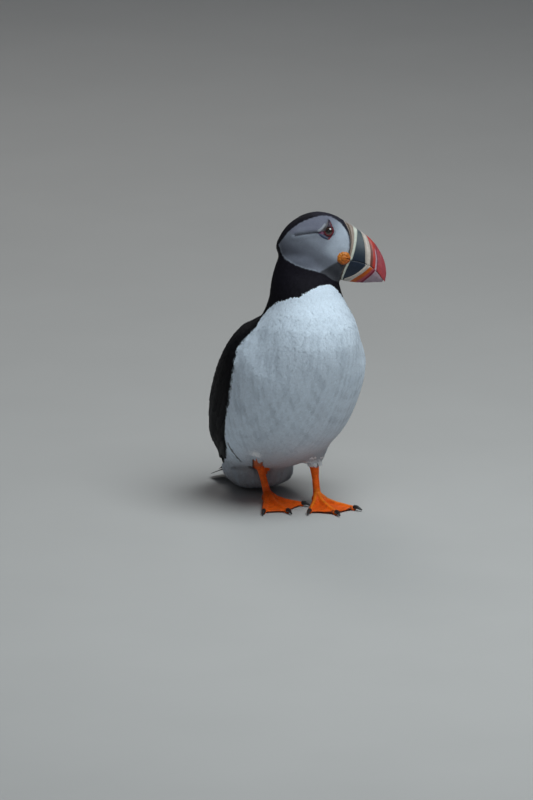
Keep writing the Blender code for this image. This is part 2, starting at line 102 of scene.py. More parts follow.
def tiled(colour, count):
    """That many rows of one colour."""
    return np.tile(np.array(colour, float), (count, 1))


def bent(start, turn, end, share):
    """Places on a curve from start to end that heads for the turn between them."""
    return (1 - share) ** 2 * start + 2 * share * (1 - share) * turn + share**2 * end


BLOCK = 20000  # points worked out at a time, to spare memory


def blocks(count):
    return [slice(start, start + BLOCK) for start in range(0, count, BLOCK)]


def smooth_rows(rows, parts):
    """The rows with parts - 1 more on a smooth curve between each two."""
    rows = np.array(rows, float)
    padded = np.vstack([rows[:1], rows, rows[-1:]])
    t = np.arange(parts)[:, None] / parts
    made = [
        0.5 * (2 * b + (c - a) * t + (2 * a - 5 * b + 4 * c - d) * t**2 + (3 * b - a - 3 * c + d) * t**3)
        for a, b, c, d in zip(padded, padded[1:], padded[2:], padded[3:])
    ]
    return np.vstack([*made, rows[-1:]])


SECTIONS = smooth_rows(TRUNK, TRUNK_STEPS)
TRUNK_MIDS = SECTIONS[:, :3] * (1, -1, 1) * MM + np.array(TRUNK_ORIGIN)
TRUNK_WAYS = unit(np.gradient(TRUNK_MIDS, axis=0))
TO_BELLY = unit(np.cross((1.0, 0.0, 0.0), TRUNK_WAYS))
TRUNK_SIZES = SECTIONS[:, 3:] * MM
TRUNK_GAPS = np.linalg.norm(np.gradient(TRUNK_MIDS, axis=0), axis=1)


def trunk_places(points):
    """Place along the trunk's rows and angle round them: 0 at the side, 90 on the belly, -90 on the back."""
    at, angle = np.empty(len(points)), np.empty(len(points))
    for part in blocks(len(points)):
        offset = points[part, None] - TRUNK_MIDS[None]
        along = np.abs((offset * TRUNK_WAYS).sum(2))
        k = np.argmin(along + 0.2 * np.linalg.norm(offset, axis=2), axis=1)
        here = offset[np.arange(len(k)), k]
        down = (here * TO_BELLY[k]).sum(1)
        half_width, back, belly = TRUNK_SIZES[k].T
        deep, wide = down / np.where(down > 0, belly, back), np.abs(here[:, 0]) / half_width
        angle[part] = np.degrees(np.arctan2(deep, wide))
        past = (here * TRUNK_WAYS[k]).sum(1) / TRUNK_GAPS[k]
        at[part] = (k + np.clip(past, -0.5, 0.5)) / TRUNK_STEPS
    return at, angle


def trunk_section(at):
    """Middle, way, belly direction and sizes of the section at a place along the trunk."""
    k = np.clip(at * TRUNK_STEPS, 0, len(TRUNK_MIDS) - 1.001)
    low, share = int(k), k - int(k)
    tables = (TRUNK_MIDS, TRUNK_WAYS, TO_BELLY, TRUNK_SIZES)
    return [mix(table[low], table[low + 1], share) for table in tables]


def head_turn():
    """Columns are the head's own ahead, left and up."""
    turn = (
        Matrix.Rotation(math.radians(HEAD_YAW), 3, "Z")
        @ Matrix.Rotation(math.radians(-HEAD_PITCH), 3, "X")
        @ Matrix.Rotation(math.radians(-HEAD_ROLL), 3, "Y")
    )
    return np.array(turn @ Matrix(((0, 1, 0), (-1, 0, 0), (0, 0, 1))))


HEAD_TURN = head_turn()
HEAD_AT = np.array(HEAD_MIDDLE)


def to_head(points):
    """Millimetres ahead of, left of and above the point between the eyes."""
    return (points - HEAD_AT) @ HEAD_TURN / MM


def from_head(local):
    return HEAD_AT + np.asarray(local, float) @ HEAD_TURN.T * MM


# ---- Meshes ----


def in_scene(name, data):
    item = bpy.data.objects.new(name, data)
    bpy.context.scene.collection.objects.link(item)
    return item


def object_of(shape, name):
    """A new object with that bmesh, which is freed."""
    data = bpy.data.meshes.new(name)
    shape.to_mesh(data)
    shape.free()
    return in_scene(name, data)


def settled(item):
    """The item with its modifiers made part of its mesh."""
    bpy.context.view_layer.update()
    graph = bpy.context.evaluated_depsgraph_get()
    data = bpy.data.meshes.new_from_object(item.evaluated_get(graph))
    item.modifiers.clear()
    item.data = data
    return item


def vectors_of(rows, field):
    values = np.empty(len(rows) * 3, np.float32)
    rows.foreach_get(field, values)
    return values.reshape(-1, 3).astype(float)


def points_of(data):
    return vectors_of(data.vertices, "co")


def normals_of(data):
    return vectors_of(data.vertex_normals, "vector")


def move_points(data, points):
    data.vertices.foreach_set("co", points.astype(np.float32).ravel())
    data.update()


def colour_points(data, colours, name="Markings"):
    """A colour for each point, which the piece's material reads."""
    layer = data.attributes.get(name) or data.attributes.new(name, "FLOAT_COLOR", "POINT")
    rgba = np.ones((len(colours), 4), np.float32)
    rgba[:, :3] = colours
    layer.data.foreach_set("color", rgba.ravel())


def merged_copies(nodes, grow):
    """Copies of solids in one bmesh, each grown all round so that neighbours run into each other."""
    joined = bmesh.new()
    for node in nodes:
        piece = bmesh.new()
        piece.from_mesh(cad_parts[node].data)
        bmesh.ops.remove_doubles(piece, verts=piece.verts, dist=2e-6)
        piece.normal_update()
        for vert, normal in [(v, v.normal.copy()) for v in piece.verts]:
            vert.co += normal * grow * MM
        data = bpy.data.meshes.new("grown")
        piece.to_mesh(data)
        piece.free()
        joined.from_mesh(data)
        bpy.data.meshes.remove(data)
    return joined


def relaxed(item, iterations):
    """The item with its modifiers and some smoothing made part of its mesh."""
    relax = item.modifiers.new("relax", "SMOOTH")
    relax.factor, relax.iterations = 0.5, iterations
    return settled(item)


def voxel_skin(name, shape, voxel, smoothing):
    """The shape's outer skin as one closed mesh of even faces."""
    item = object_of(shape, name)
    fuse = item.modifiers.new("fuse", "REMESH")
    fuse.mode, fuse.voxel_size = "VOXEL", voxel * MM
    return keep_largest(relaxed(item, smoothing))


def keep_largest(item):
    """Drops the small shells that fusing leaves round closed hollows."""
    shape = bmesh.new()
    shape.from_mesh(item.data)
    left, islands = set(shape.verts), []
    while left:
        island = [left.pop()]
        for vert in island:
            for edge in vert.link_edges:
                other = edge.other_vert(vert)
                if other in left:
                    left.remove(other)
                    island.append(other)
        islands.append(island)
    islands.sort(key=len)
    bmesh.ops.delete(shape, geom=[vert for island in islands[:-1] for vert in island], context="VERTS")
    shape.to_mesh(item.data)
    shape.free()
    return item


def refined_where(item, wanted, cuts, smoothing):
    """Finer faces where `wanted`, a test on arrays of points, holds."""
    shape = bmesh.new()
    shape.from_mesh(item.data)
    fine = wanted(points_of(item.data))
    edges = [edge for edge in shape.edges if all(fine[vert.index] for vert in edge.verts)]
    bmesh.ops.subdivide_edges(shape, edges=edges, cuts=cuts, use_grid_fill=True)
    shape.verts.index_update()
    data = bpy.data.meshes.new("refined")
    shape.to_mesh(data)
    inner = wanted(points_of(data))
    bpy.data.meshes.remove(data)
    shape.verts.ensure_lookup_table()
    for _ in range(smoothing):
        bmesh.ops.smooth_vert(shape, verts=[v for v in shape.verts if inner[v.index]], factor=0.5,
                              use_axis_x=True, use_axis_y=True, use_axis_z=True)
    shape.to_mesh(item.data)
    shape.free()
    return item


def finished(item, material, slot, *nodes):
    """Gives a piece its finish and puts it on the bird, in place of those nodes."""
    item.data.materials.clear()
    item.data.materials.append(material)
    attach(item, "root")
    if nodes:
        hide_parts(*nodes)
    return item


# ---- Markings ----

WHITE, BLACK, FACE = 0, 1, 2
KINDS = {
    WHITE: ("breast_feathers", "white_plumage"),
    BLACK: ("back_feathers", "black_plumage"),
    FACE: ("face_feathers", "face_plumage"),
}

# Angle round the trunk at which black turns to white, from the rump up to the collar.
EDGE_AT = (
    0.0, 0.5, 1.0, 1.9, 2.3, 2.64, 2.86, 3.0, 3.23, 3.75, 4.27, 4.7, 5.17, 5.62, 6.14, 6.6, 7.0, 7.42, 7.66,
    7.91, 8.04, 8.13, 8.26, 8.36, 8.5,
)
EDGE_ANGLE = (24, 12, 6, 9, 13, 18, 18, 13, 10, 9, 9, 7, 5, 2, -8, -13, -15, -16, -7, 10, 29, 53, 65, 77, 100)
# The collar's front edge stands higher to the left of the breast's middle: how much, where and how wide.
COLLAR_RISE, COLLAR_RISE_MIDDLE, COLLAR_RISE_WIDTH = 0.26, 14.0, 9.0
# The fold where the flank's feathers end over the vent: places along the trunk and angles round it.
FLANK_FOLD = ((3.07, 17.0), (2.96, 24.0), (2.87, 30.0), (2.74, 36.0), (2.66, 41.0))
FLANK_FOLD_SCALE = (22.0, 0.8)  # millimetres for one place along the trunk and for one degree
# Painted shadow: a dark line along that fold, where the flank's feathers overhang the vent.
FOLD_SHADOW = (0.030, 0.028, 0.032)

# Lines on the head, as millimetres ahead of and above the eye.
FACE_OUTLINE = (
    (-30.6, -27.0), (-29.4, -21.0), (-28.2, -16.0), (-26.6, -11.6), (-23.6, -5.4), (-20.5, -1.1), (-16.6, 3.4),
    (-12.6, 7.2), (-9.0, 9.6), (-4.6, 10.7), (0.0, 10.4), (4.0, 9.6), (8.0, 8.2), (11.4, 6.4), (14.4, 3.8),
    (17.0, 0.2), (19.0, -3.8), (20.4, -8.0), (21.2, -14.0), (26.0, -20.0), (26.0, -31.0), (17.9, -31.0),
    (11.8, -30.0), (4.5, -31.4), (-2.5, -33.4), (-10.5, -34.8), (-19.6, -34.4), (-25.0, -32.4),
)
JAW_PATCH = (
    (17.2, -15.4), (26.0, -15.0), (26.0, -34.0), (8.0, -33.0), (8.2, -29.4), (10.8, -25.6), (14.0, -20.2),
)
CREASE = ((-5.4, -4.5), (-8.6, -5.8), (-11.8, -7.9), (-15.1, -10.1), (-18.2, -12.4), (-21.4, -14.8))
LOWER_FACE_EDGE = ((-30.6, -27.0), (-25.0, -32.4), (-19.6, -34.4), (-10.5, -34.8), (-2.5, -33.4), (4.5, -31.4))
UPPER_PLATE = ((-2.6, 2.2), (1.4, 3.0), (-1.0, 5.4), (-5.2, 8.2), (-3.6, 4.6))
LID_BACK = ((-5.2, 7.0), (-4.6, 3.2), (-5.0, -0.4), (-5.0, -2.4), (-2.6, -1.6), (-2.0, 2.4))
LOWER_PLATE = ((-6.9, -5.4), (-3.6, -4.5), (0.4, -4.7), (2.4, -4.9), (2.8, -6.2), (-0.6, -6.7), (-3.6, -6.4))
EYE_TRIANGLE = (
    (-6.9, -5.3), (-5.2, -2.6), (-5.0, 0.0), (-4.6, 3.2), (-5.3, 8.2), (-1.0, 5.5), (2.6, 2.6), (3.7, -0.4),
    (3.7, -3.6), (3.2, -6.0), (-0.6, -6.8), (-3.6, -6.5),
)
LID_RIDGE = ((-7.2, -3.2), (-6.0, -1.6), (-5.6, 0.4), (-5.4, 3.2))
EYE_SIDE, EYE_RADIUS = 13.6, 4.7
LID_OPENING, LID_RIM = 2.75, 3.95
EYE_REACH = 30  # millimetres from the point between the eyes that their bare skin stays within

WHITE_COAT = (0.72, 0.82, 0.93)
# Painted shade: a grey that darkens the white toward the rump and vent.
FLANK_SHADE = (0.44, 0.45, 0.50)
# Painted shade: a dark grey that darkens the white under the lower belly.
BELLY_SHADE = (0.215, 0.20, 0.205)
STREAK_GREY = (0.40, 0.47, 0.55)
BLACK_COAT = (0.0065, 0.0060, 0.0075)
COLLAR_BLACK = (0.0085, 0.0075, 0.0115)
# Painted light: a lighter black for the top of the head, where light falls on it.
CROWN_LIT_BLACK = (0.020, 0.019, 0.029)
FACE_LIGHT, FACE_MIDDLE, FACE_DARK = (0.50, 0.56, 0.65), (0.265, 0.290, 0.350), (0.155, 0.168, 0.215)
BROW_GREY = (0.235, 0.245, 0.320)
JAW_GREY = (0.075, 0.077, 0.090)
# Painted shade: a dark line along the sunk crease behind the eye.
CREASE_SHADE = (0.040, 0.040, 0.055)
LID_RED, LID_DARK = (0.20, 0.016, 0.026), (0.045, 0.022, 0.034)
# The pale on the lid's ridge is partly the feathers' own pale edge and partly a painted highlight.
LID_PINK, LID_GREY, LID_PALE_HIGHLIGHT = (0.17, 0.066, 0.12), (0.085, 0.080, 0.085), (0.56, 0.58, 0.64)
PLATE_SLATE, HORN_DARK = (0.026, 0.040, 0.085), (0.030, 0.018, 0.038)
LEG_ORANGE, WEB_ORANGE, LEG_SHADE = (1.0, 0.150, 0.002), (0.88, 0.120, 0.003), (0.50, 0.055, 0.003)
# Painted highlight: a lighter orange along the tops of the toes.
TOE_TOP_HIGHLIGHT = (0.97, 0.27, 0.012)
WEB_EDGE = (0.045, 0.022, 0.014)


def line_distance(points, line):
    """Distance in a plane from each point to an open line of points."""
    line = np.array(line, float)
    way = np.diff(line, axis=0)
    offset = points[:, None] - line[None, :-1]
    share = np.clip((offset * way).sum(2) / (way**2).sum(1), 0, 1)
    return np.linalg.norm(offset - share[..., None] * way, axis=2).min(1)


def depth_inside(points, outline):
    """How far each point lies inside a closed outline, negative outside it."""
    ring = (*outline, outline[0])
    x, y = points.T
    inside = np.zeros(len(points), bool)
    for (x0, y0), (x1, y1) in zip(ring, ring[1:]):
        if y0 != y1:
            inside ^= ((y0 > y) != (y1 > y)) & (x < (x1 - x0) * (y - y0) / (y1 - y0) + x0)
    return np.where(inside, 1, -1) * line_distance(points, ring)


def washed(colours, *layers):
    """The colours under layers of paint, each with its mask, in that order."""
    for paint, mask in layers:
        colours = colours + (np.array(paint) - colours) * mask[:, None]
    return colours


def ripple(points, size):
    """Soft, even noise from -1 to 1, with waves about that many millimetres long."""
    q = points / (size * MM)
    return (
        np.sin(q @ (4.1, 2.3, 3.7) + 1.3) + np.sin(q @ (-2.9, 5.3, 1.9) + 4.1)
        + np.sin(q @ (1.7, -3.1, 6.1) + 2.2) + np.sin(q @ (5.9, 1.3, -2.7) + 5.6)
    ) / 4


def by_eye(local):
    return np.linalg.norm(local, axis=1) < EYE_REACH


def eye_trim(local):
    """Bare skin round the eye: how much of it shows at each head point, and its colour."""
    flat = local[:, (0, 2)]
    reach = np.linalg.norm(flat, axis=1)
    side = np.abs(local[:, 1]) > 8
    colours = tiled(LID_DARK, len(local))
    triangle = ease(depth_inside(flat, EYE_TRIANGLE) / 0.5 + 0.5)
    colours = washed(
        colours,
        (LID_GREY, ease(depth_inside(flat, LID_BACK) / 0.7 + 0.5)),
        (HORN_DARK, ease(depth_inside(flat, UPPER_PLATE) / 0.5 + 0.5)),
        (LID_PINK, ease(1.5 - line_distance(flat, ((-6.2, -4.4), (-3.2, -3.4))) / 0.9)),
        (PLATE_SLATE, ease(depth_inside(flat, LOWER_PLATE) / 0.5 + 0.5)),
    )
    front_line = line_distance(flat, ((-2.4, 6.4), (2.2, 2.9), (3.4, -0.2), (3.5, -3.4), (2.9, -5.4)))
    colours = washed(colours, (LID_RED, ease(1.5 - front_line / 0.6)))
    ring = ease((reach - LID_OPENING + 0.2) / 0.3) * ease((LID_RIM - reach) / 0.4)
    colours = washed(colours, (LID_RED, ring * ease((2.4 - flat[:, 1] + flat[:, 0]) / 2.0)))
    shown = np.maximum(triangle, ease((LID_RIM + 0.2 - reach) / 0.4)) * side
    return shown, colours


def face_colours(points, local):
    """Colours of the grey face, darker to the nape and under the cheek and pale beside the bill."""
    ahead, _, up = local.T
    flat = local[:, (0, 2)]
    colours = tiled(FACE_MIDDLE, len(points))
    above = ease((up - np.interp(ahead, (-24, -12, -4), (-16, -7.6, -4.0))) / 3)
    colours = washed(
        colours,
        (BROW_GREY, above * ease((2 - ahead) / 8)),
        (FACE_DARK, ease((-up - 13) / 15) * ease((12 - ahead) / 14) * 0.85),
    )
    cheek = np.exp(-((up + 10.5) / 3.4) ** 2) * ease((4 - ahead) / 10) * ease((ahead + 26) / 10)
    colours = washed(
        colours,
        (FACE_LIGHT, 0.28 * cheek),
        (FACE_LIGHT, ease((ahead + 2) / 13) * ease((up + 19) / 7)),
        (FACE_LIGHT, 0.35 * ease(1.5 - line_distance(flat, LOWER_FACE_EDGE) / 1.1)),
        (JAW_GREY, ease(depth_inside(flat, JAW_PATCH) / 1.6 + 0.5)),
        # pale edge on the lid's ridge, partly a painted highlight
        (LID_PALE_HIGHLIGHT, 0.8 * ease(1.5 - line_distance(flat, LID_RIDGE) / 0.8)),
        # painted shade along the crease behind the eye
        (CREASE_SHADE, 0.9 * ease(1.3 - line_distance(flat, CREASE) / 0.7) * (ahead < -3.5)),
    )
    return colours * mix(0.66, 0.82, ease((ahead + 12) / 20))[:, None]


def markings(points):
    """The plumage's colour at each point, and which kind of feather grows there."""
    local = to_head(points)
    at, angle = trunk_places(points)
    wobble = 1.2 * ripple(points, 9) + 0.6 * ripple(points, 3.4)
    beside = (points[:, 0] / MM - COLLAR_RISE_MIDDLE) / COLLAR_RISE_WIDTH
    rise = COLLAR_RISE * np.exp(-(beside**2)) * (at > 7.4)
    edge = np.interp(at - rise, EDGE_AT, EDGE_ANGLE)
    white = ease((angle - edge + wobble) / 2.4 + 0.5)
    colours = tiled(BLACK_COAT, len(points))
    colours = washed(
        colours,
        (COLLAR_BLACK, ease((at - 7.6) / 1.2)),
        # painted light, lighter toward the top of the head
        (CROWN_LIT_BLACK, ease((local[:, 2] - 2) / 8)),
    )
    pale = tiled(WHITE_COAT, len(points))
    pale = washed(
        pale,
        # painted shade toward the rump and vent
        (FLANK_SHADE, 0.55 * ease((2.9 - at) / 1.6)),
        # painted shade under the lower belly
        (BELLY_SHADE, 0.78 * ease((5.3 - at) / 3.0) * ease((angle - 18) / 44)),
    )
    streaks = ripple(points * (1.0, 1.0, 0.13), 4.6) + 0.8 * ripple(points * (1.0, 1.0, 0.3), 14)
    pale = washed(pale, (STREAK_GREY, ease(0.5 * streaks + 0.25) * ease((8.0 - at) / 1.2) * 0.6))
    places = np.column_stack([at, angle]) * FLANK_FOLD_SCALE
    fold = line_distance(places, np.array(FLANK_FOLD) * FLANK_FOLD_SCALE)
    # Painted shadow along the flank's fold over the vent, on the bird's right side only.
    pale = washed(pale, (FOLD_SHADOW, 0.8 * ease(1.5 - fold / 0.8) * (points[:, 0] < 0)))
    colours += (pale - colours) * white[:, None]
    on_head = (np.abs(local[:, 1]) < 30) & (local[:, 2] > -38)
    wobble = 0.35 * ripple(points, 2.6) * mix(1.0, 0.1, ease((local[:, 0] - 5) / 7))
    face = ease((depth_inside(local[:, (0, 2)], FACE_OUTLINE) + wobble) / 0.9 + 0.5) * on_head
    colours += (face_colours(points, local) - colours) * face[:, None]
    kind = np.where(white > 0.5, WHITE, BLACK)
    return colours, np.where(face > 0.5, FACE, kind)


# ---- Skin ----

FLESH = ("head", "neck", "trunk", "thigh_right", "thigh_left")
FEATHERED = (*FLESH, "wing_right", "wing_left")
LEGS = ("shank_right", "shank_left", "foot_right", "foot_left")
SKIN_GROW = 0.5
SKIN_VOXEL = 1.40
LEG_GROW = 0.3
LEG_VOXEL = 0.50
SCUTE_LENGTH, SCUTE_RISE = 1.55, 0.16
CREASE_SINK, CREASE_SWELL = 0.85, 0.35
PLATE_RISES = ((UPPER_PLATE, 0.5), (LOWER_PLATE, 0.45))
BODY_DEPTH, WING_DEPTH, NECK_DEPTH, HEAD_DEPTH, RIM_DEPTH = 2.0, 1.2, 1.4, 0.75, 0.25
# Where the face's feathers meet the bill, as millimetres ahead of and above the eye.
BILL_RIM = ((3.4, 12.6), (10.3, 8.6), (15.2, 4.0), (18.7, -1.5), (20.8, -7.0), (21.6, -13.0), (22.2, -20.0),
            (23.1, -28.0))


def coat_depths(points):
    """Depth of the plumage over the skin at each point, in millimetres."""
    local = to_head(points)
    at, angle = trunk_places(points)
    winged = ease((np.interp(at, EDGE_AT, EDGE_ANGLE) - angle) / 6) * ease((6.9 - at) / 0.5)
    depth = mix(BODY_DEPTH, WING_DEPTH, winged)
    depth = mix(depth, NECK_DEPTH, ease((at - 7.6) / 1.0))
    far = np.linalg.norm(local - (-2, 0, -10), axis=1)
    depth = mix(HEAD_DEPTH, depth, ease((far - 27) / 10))
    beside_bill = ease((3.5 - line_distance(local[:, (0, 2)], BILL_RIM)) / 3)
    return mix(depth, RIM_DEPTH, beside_bill * (far < 45))


def sculpted_face(points):
    """Sinks the crease behind each eye, and raises the lids and the horny plates round it."""
    local = to_head(points)
    ahead, left, up = local.T
    flat = local[:, (0, 2)]
    side, out = np.sign(left), np.abs(left)
    cheek = (out > 7) & (ahead > -28) & (ahead < 12) & (up > -24) & (up < 14)  # all that is shaped here
    crease = line_distance(flat, CREASE)
    out = out - np.where(cheek, CREASE_SINK * np.exp(-(crease / 0.9) ** 2) * ease((-3 - ahead) / 1.5), 0)
    swell = CREASE_SWELL * np.exp(-((crease - 2.6) / 1.5) ** 2)
    out = out + np.where(cheek, swell * ease((-4 - ahead) / 3), 0)
    reach = np.linalg.norm(flat, axis=1)
    ball = EYE_SIDE + np.sqrt(np.clip(EYE_RADIUS**2 - reach**2, 0.04, None))
    lid = np.interp(reach, (0, 2.55, 2.95, 3.4, 3.95, 4.6), (-0.7, -0.7, 0.10, 0.42, 0.12, 0.0))
    socket = np.where(reach < 3.3, ball, np.maximum(ball, out)) + lid
    near = np.where(cheek, 1 - ease((reach - 4.2) / 1.4), 0)
    out = mix(out, socket, near)
    for plate, height in PLATE_RISES:
        raised = ease(depth_inside(flat, plate) / 0.5 + 0.3) * ease((reach - 2.9) / 0.5)
        out = out + np.where(cheek, height * raised, 0)
    return from_head(np.column_stack([ahead, side * out, up]))


def near_eyes(radius):
    """A test for points within that many millimetres of an eye, seen from the side."""

    def test(points):
        ahead, left, up = to_head(points).T
        return (np.hypot(ahead + 0.5, up) < radius) & (np.abs(left) > 8)

    return test


def near_crease(points):
    local = to_head(points)
    return (line_distance(local[:, (0, 2)], CREASE) < 3.2) & (np.abs(local[:, 1]) > 8)


def body_skin():
    """The feathered part of the skin, inside its solids by the depth of the plumage."""
    shape = merged_copies(FEATHERED, SKIN_GROW)
    fill = bpy.data.meshes.new("fill")
    filler = merged_copies(("eye_right", "eye_left", "rosette_right", "rosette_left"), 0.0)
    filler.to_mesh(fill)
    filler.free()
    shape.from_mesh(fill)
    skin = voxel_skin("skin", shape, SKIN_VOXEL, 5)
    points, normals = points_of(skin.data), normals_of(skin.data)
    move_points(skin.data, points - normals * ((SKIN_GROW + coat_depths(points)) * MM)[:, None])
    relaxed(skin, 2)
    refined_where(skin, lambda p: near_crease(p) | near_eyes(9.5)(p), 1, 2)
    refined_where(skin, near_eyes(7.6), 2, 2)
    refined_where(skin, lambda p: heel_distance(p) < HEEL_BULB_RADIUS + 3, 1, 1)
    move_points(skin.data, sculpted_face(points_of(skin.data)))
    points, normals = points_of(skin.data), normals_of(skin.data)
    rise = HEEL_BULB_RISE * ease((HEEL_BULB_RADIUS + 0.6 - heel_distance(points)) / 2.6)
    move_points(skin.data, points + normals * (rise * MM)[:, None])
    return skin


def two_leg_skins():
    """Each leg's skin as its own closed mesh, with scales across the toes and up the shank's front."""
    made = []
    for side, _ in SIDES:
        solids = merged_copies((f"shank_{side}", f"foot_{side}"), LEG_GROW)
        leg = voxel_skin(f"leg_{side}", solids, LEG_VOXEL, 3)
        points, normals = points_of(leg.data), normals_of(leg.data)
        points -= normals * LEG_GROW * MM
        height = points[:, 2] / MM
        joint = JOINTS[side]
        along = np.linalg.norm(points[:, :2] - joint[:2], axis=1) / MM
        scutes = np.abs(np.sin(math.pi * np.where(height > 9, height, along) / SCUTE_LENGTH)) ** 0.6
        front = ease((normals[:, 2] - 0.1) / 0.5)
        shank = ease((height - 8) / 3) * ease((0.35 - (normals @ (0.25, 0.95, 0.0))) / 0.5)
        scaled = np.maximum(front * ease((height - 2.9) / 0.9), shank)
        knobs = 0.05 * ripple(points, 0.9) * (1 - scaled)
        points += normals * ((SCUTE_RISE * (scutes - 0.7) * scaled + knobs) * ease(height - 0.5) * MM)[:, None]
        points[:, 2] = np.where(points[:, 2] < 0.30 * MM, 0.0, points[:, 2])
        move_points(leg.data, points)
        made.append(leg)
    return made


def joined_skin(body, legs):
    """Body and legs as one closed skin."""
    for leg in legs:
        join = body.modifiers.new("join", "BOOLEAN")
        join.operation, join.object, join.solver = "UNION", leg, "MANIFOLD"
        settled(body)
    return body


def node_points(node):
    return points_of(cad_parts[node].data)


def toe_joint(side):
    """Middle of the lowest ring of the shank's solid, where the toes start."""
    points = node_points(f"shank_{side}")
    low = points[points[:, 2] < points[:, 2].min() + 0.5 * MM]
    return (low.min(0) + low.max(0)) / 2


JOINTS = {side: toe_joint(side) for side, _ in SIDES}
# Heels, where the bare shank comes out of the thigh's feathers, and the height where feathers end.
HEELS = {
    "right": np.array(TRUNK_ORIGIN) + np.array((-15.0, 25.0, 33.0)) * MM,
    "left": np.array(TRUNK_ORIGIN) + np.array((19.5, -1.0, 31.0)) * MM,
}
BARE_BELOW = {"right": 35.5, "left": 28.5}
# The right heel stands out of the flank's feathers: its line and its width.
HEEL_BULB = np.array(((-26.5, -12.5, 38.0), (-24.0, -8.0, 33.5), (-20.5, -1.0, 28.5), (-17.0, 5.0, 24.0))) * MM
HEEL_BULB_RADIUS, HEEL_BULB_RISE = 4.4, 2.3
HEEL_PINK = (0.50, 0.150, 0.070)
# Bright loose feathers that hang over each leg: middle and reach.
TUFTS = (((-36.0, -20.5, 48.5), 7.5), ((20.0, -21.0, 33.0), 9.0))
TUFT_WHITE = (0.93, 0.95, 0.97)
CLAW_ROOTS = {
    (side, toe): np.array(box_middle(f"claw_{side}_{toe}"))
    for side, _ in SIDES for toe in ("inner", "middle", "outer")
}


def leg_colours(points):
    """Orange shanks, toes and webs, with the web's dark front edge and shaded joints."""
    colours = tiled(LEG_ORANGE, len(points))
    height = points[:, 2] / MM
    for side, _ in SIDES:
        joint = JOINTS[side]
        tips = [CLAW_ROOTS[side, toe][:2] for toe in ("inner", "middle", "outer")]
        flat = points[:, :2] / MM
        mine = (np.linalg.norm(points[:, :2] - joint[:2], axis=1) < 55 * MM) & (height < 12)
        toes = np.min([line_distance(flat, (joint[:2] / MM, tip / MM)) for tip in tips], axis=0)
        web = mine * ease((toes - 2.0) / 1.6)
        colours = washed(
            colours,
            (WEB_ORANGE, web),
            # painted highlight along the tops of the toes
            (TOE_TOP_HIGHLIGHT, 0.7 * mine * ease(1.6 - toes / 0.9) * ease(height - 3)),
        )
        order = sorted(tips, key=lambda tip: math.atan2(tip[1] - joint[1], tip[0] - joint[0]))
        for a, b in zip(order, order[1:]):
            ends = [mix(joint[:2], tip, 0.86) / MM for tip in (a, b)]
            middle = mix(joint[:2], (a + b) / 2, 0.93) / MM
            rim = line_distance(flat, (ends[0], middle, ends[1]))
            web_reach = np.linalg.norm(middle - joint[:2] / MM) - 3
            beyond = np.linalg.norm(flat - joint[:2] / MM, axis=1) > web_reach
            colours = washed(colours, (WEB_EDGE, 0.85 * mine * beyond * ease(1.25 - rim / 1.3) * (toes > 1.2)))
    shade = 0.35 * ease(ripple(points, 7) - 0.1) + 0.25 * ease(ripple(points, 2.2))
    colours = washed(colours, (LEG_SHADE, shade * 0.55))
    return washed(colours, (HEEL_PINK, 0.8 * ease((height - 27) / 4) * ease((8 - heel_distance(points)) / 3)))


def painted_skin(skin):
    """Puts the markings on the skin, and says where it is bare."""
    points = points_of(skin.data)
    colours, _ = markings(points + normals_of(skin.data) * (coat_depths(points) * MM)[:, None])
    local = to_head(points)
    trim, trim_colours = eye_trim(local)
    trim = trim * by_eye(local)
    colours += (trim_colours - colours) * trim[:, None]
    bare = bare_leg(points)
    colours += (leg_colours(points) - colours) * bare[:, None]
    colour_points(skin.data, colours)
    layer = skin.data.attributes.new("Bare", "FLOAT", "POINT")
    layer.data.foreach_set("value", np.maximum(bare, trim).astype(np.float32))


# ---- Plumage ----

FEATHER_LENGTH, FEATHER_WIDTH = 8.6, 2.5
FEATHERS_PER_MM2 = 0.66
FACE_SIZE = 0.33
PATCH = 0.003  # width of a vane's patch on the baking map
MOST_VANES = 11500  # in one piece
# A small feather's rings: where they lie along it, and their share of its width.
SMALL_SHARES, SMALL_PROFILE = (0.34, 0.76), (0.85, 0.92)


def flow_field():
    """Points down the middle of the bird from bill to tail and down each thigh, and the ways there."""
    head = from_head([(24, 0, -8), (12, 0, -5), (0, 0, -5), (-12, 0, -8), (-21, 0, -16), (-24, 0, -26)])
    body = TRUNK_MIDS[::-TRUNK_STEPS][2:]
    spine = smooth_rows(np.vstack([head, body]), 6)
    throat = [from_head((22, 0, -28)), from_head((10, 0, -33)), from_head((2, 0, -38))]
    for at in (9.0, 8.4, 7.8, 7.2):
        middle, _, to_belly, sizes = trunk_section(at)
        throat.append(middle + to_belly * sizes[2])
    lines = [spine, smooth_rows(throat, 4)]
    body = len(lines[0]) + len(lines[1])
    for side, sign in SIDES:
        hip = HEELS[side] + (sign * 5 * MM, 4 * MM, 30 * MM)
        lines.append(smooth_rows([hip, mix(hip, HEELS[side], 0.5), HEELS[side], JOINTS[side]], 5))
    return np.vstack(lines), np.vstack([unit(np.gradient(line, axis=0)) for line in lines]), body


FLOW_POINTS, FLOW_WAYS, BODY_FLOW = flow_field()
FLOW_REACH = 18.0


def flow(points, lines=None):
    """The lie of the coat at each point, from all lines or from the first of them."""
    made = np.empty_like(points)
    for part in blocks(len(points)):
        far = np.linalg.norm(points[part, None] - FLOW_POINTS[None, :lines], axis=2) / (FLOW_REACH * MM)
        weight = np.exp(-0.5 * (far**2 - far.min(1, keepdims=True) ** 2))
        made[part] = weight @ FLOW_WAYS[:lines]
    return unit(made)


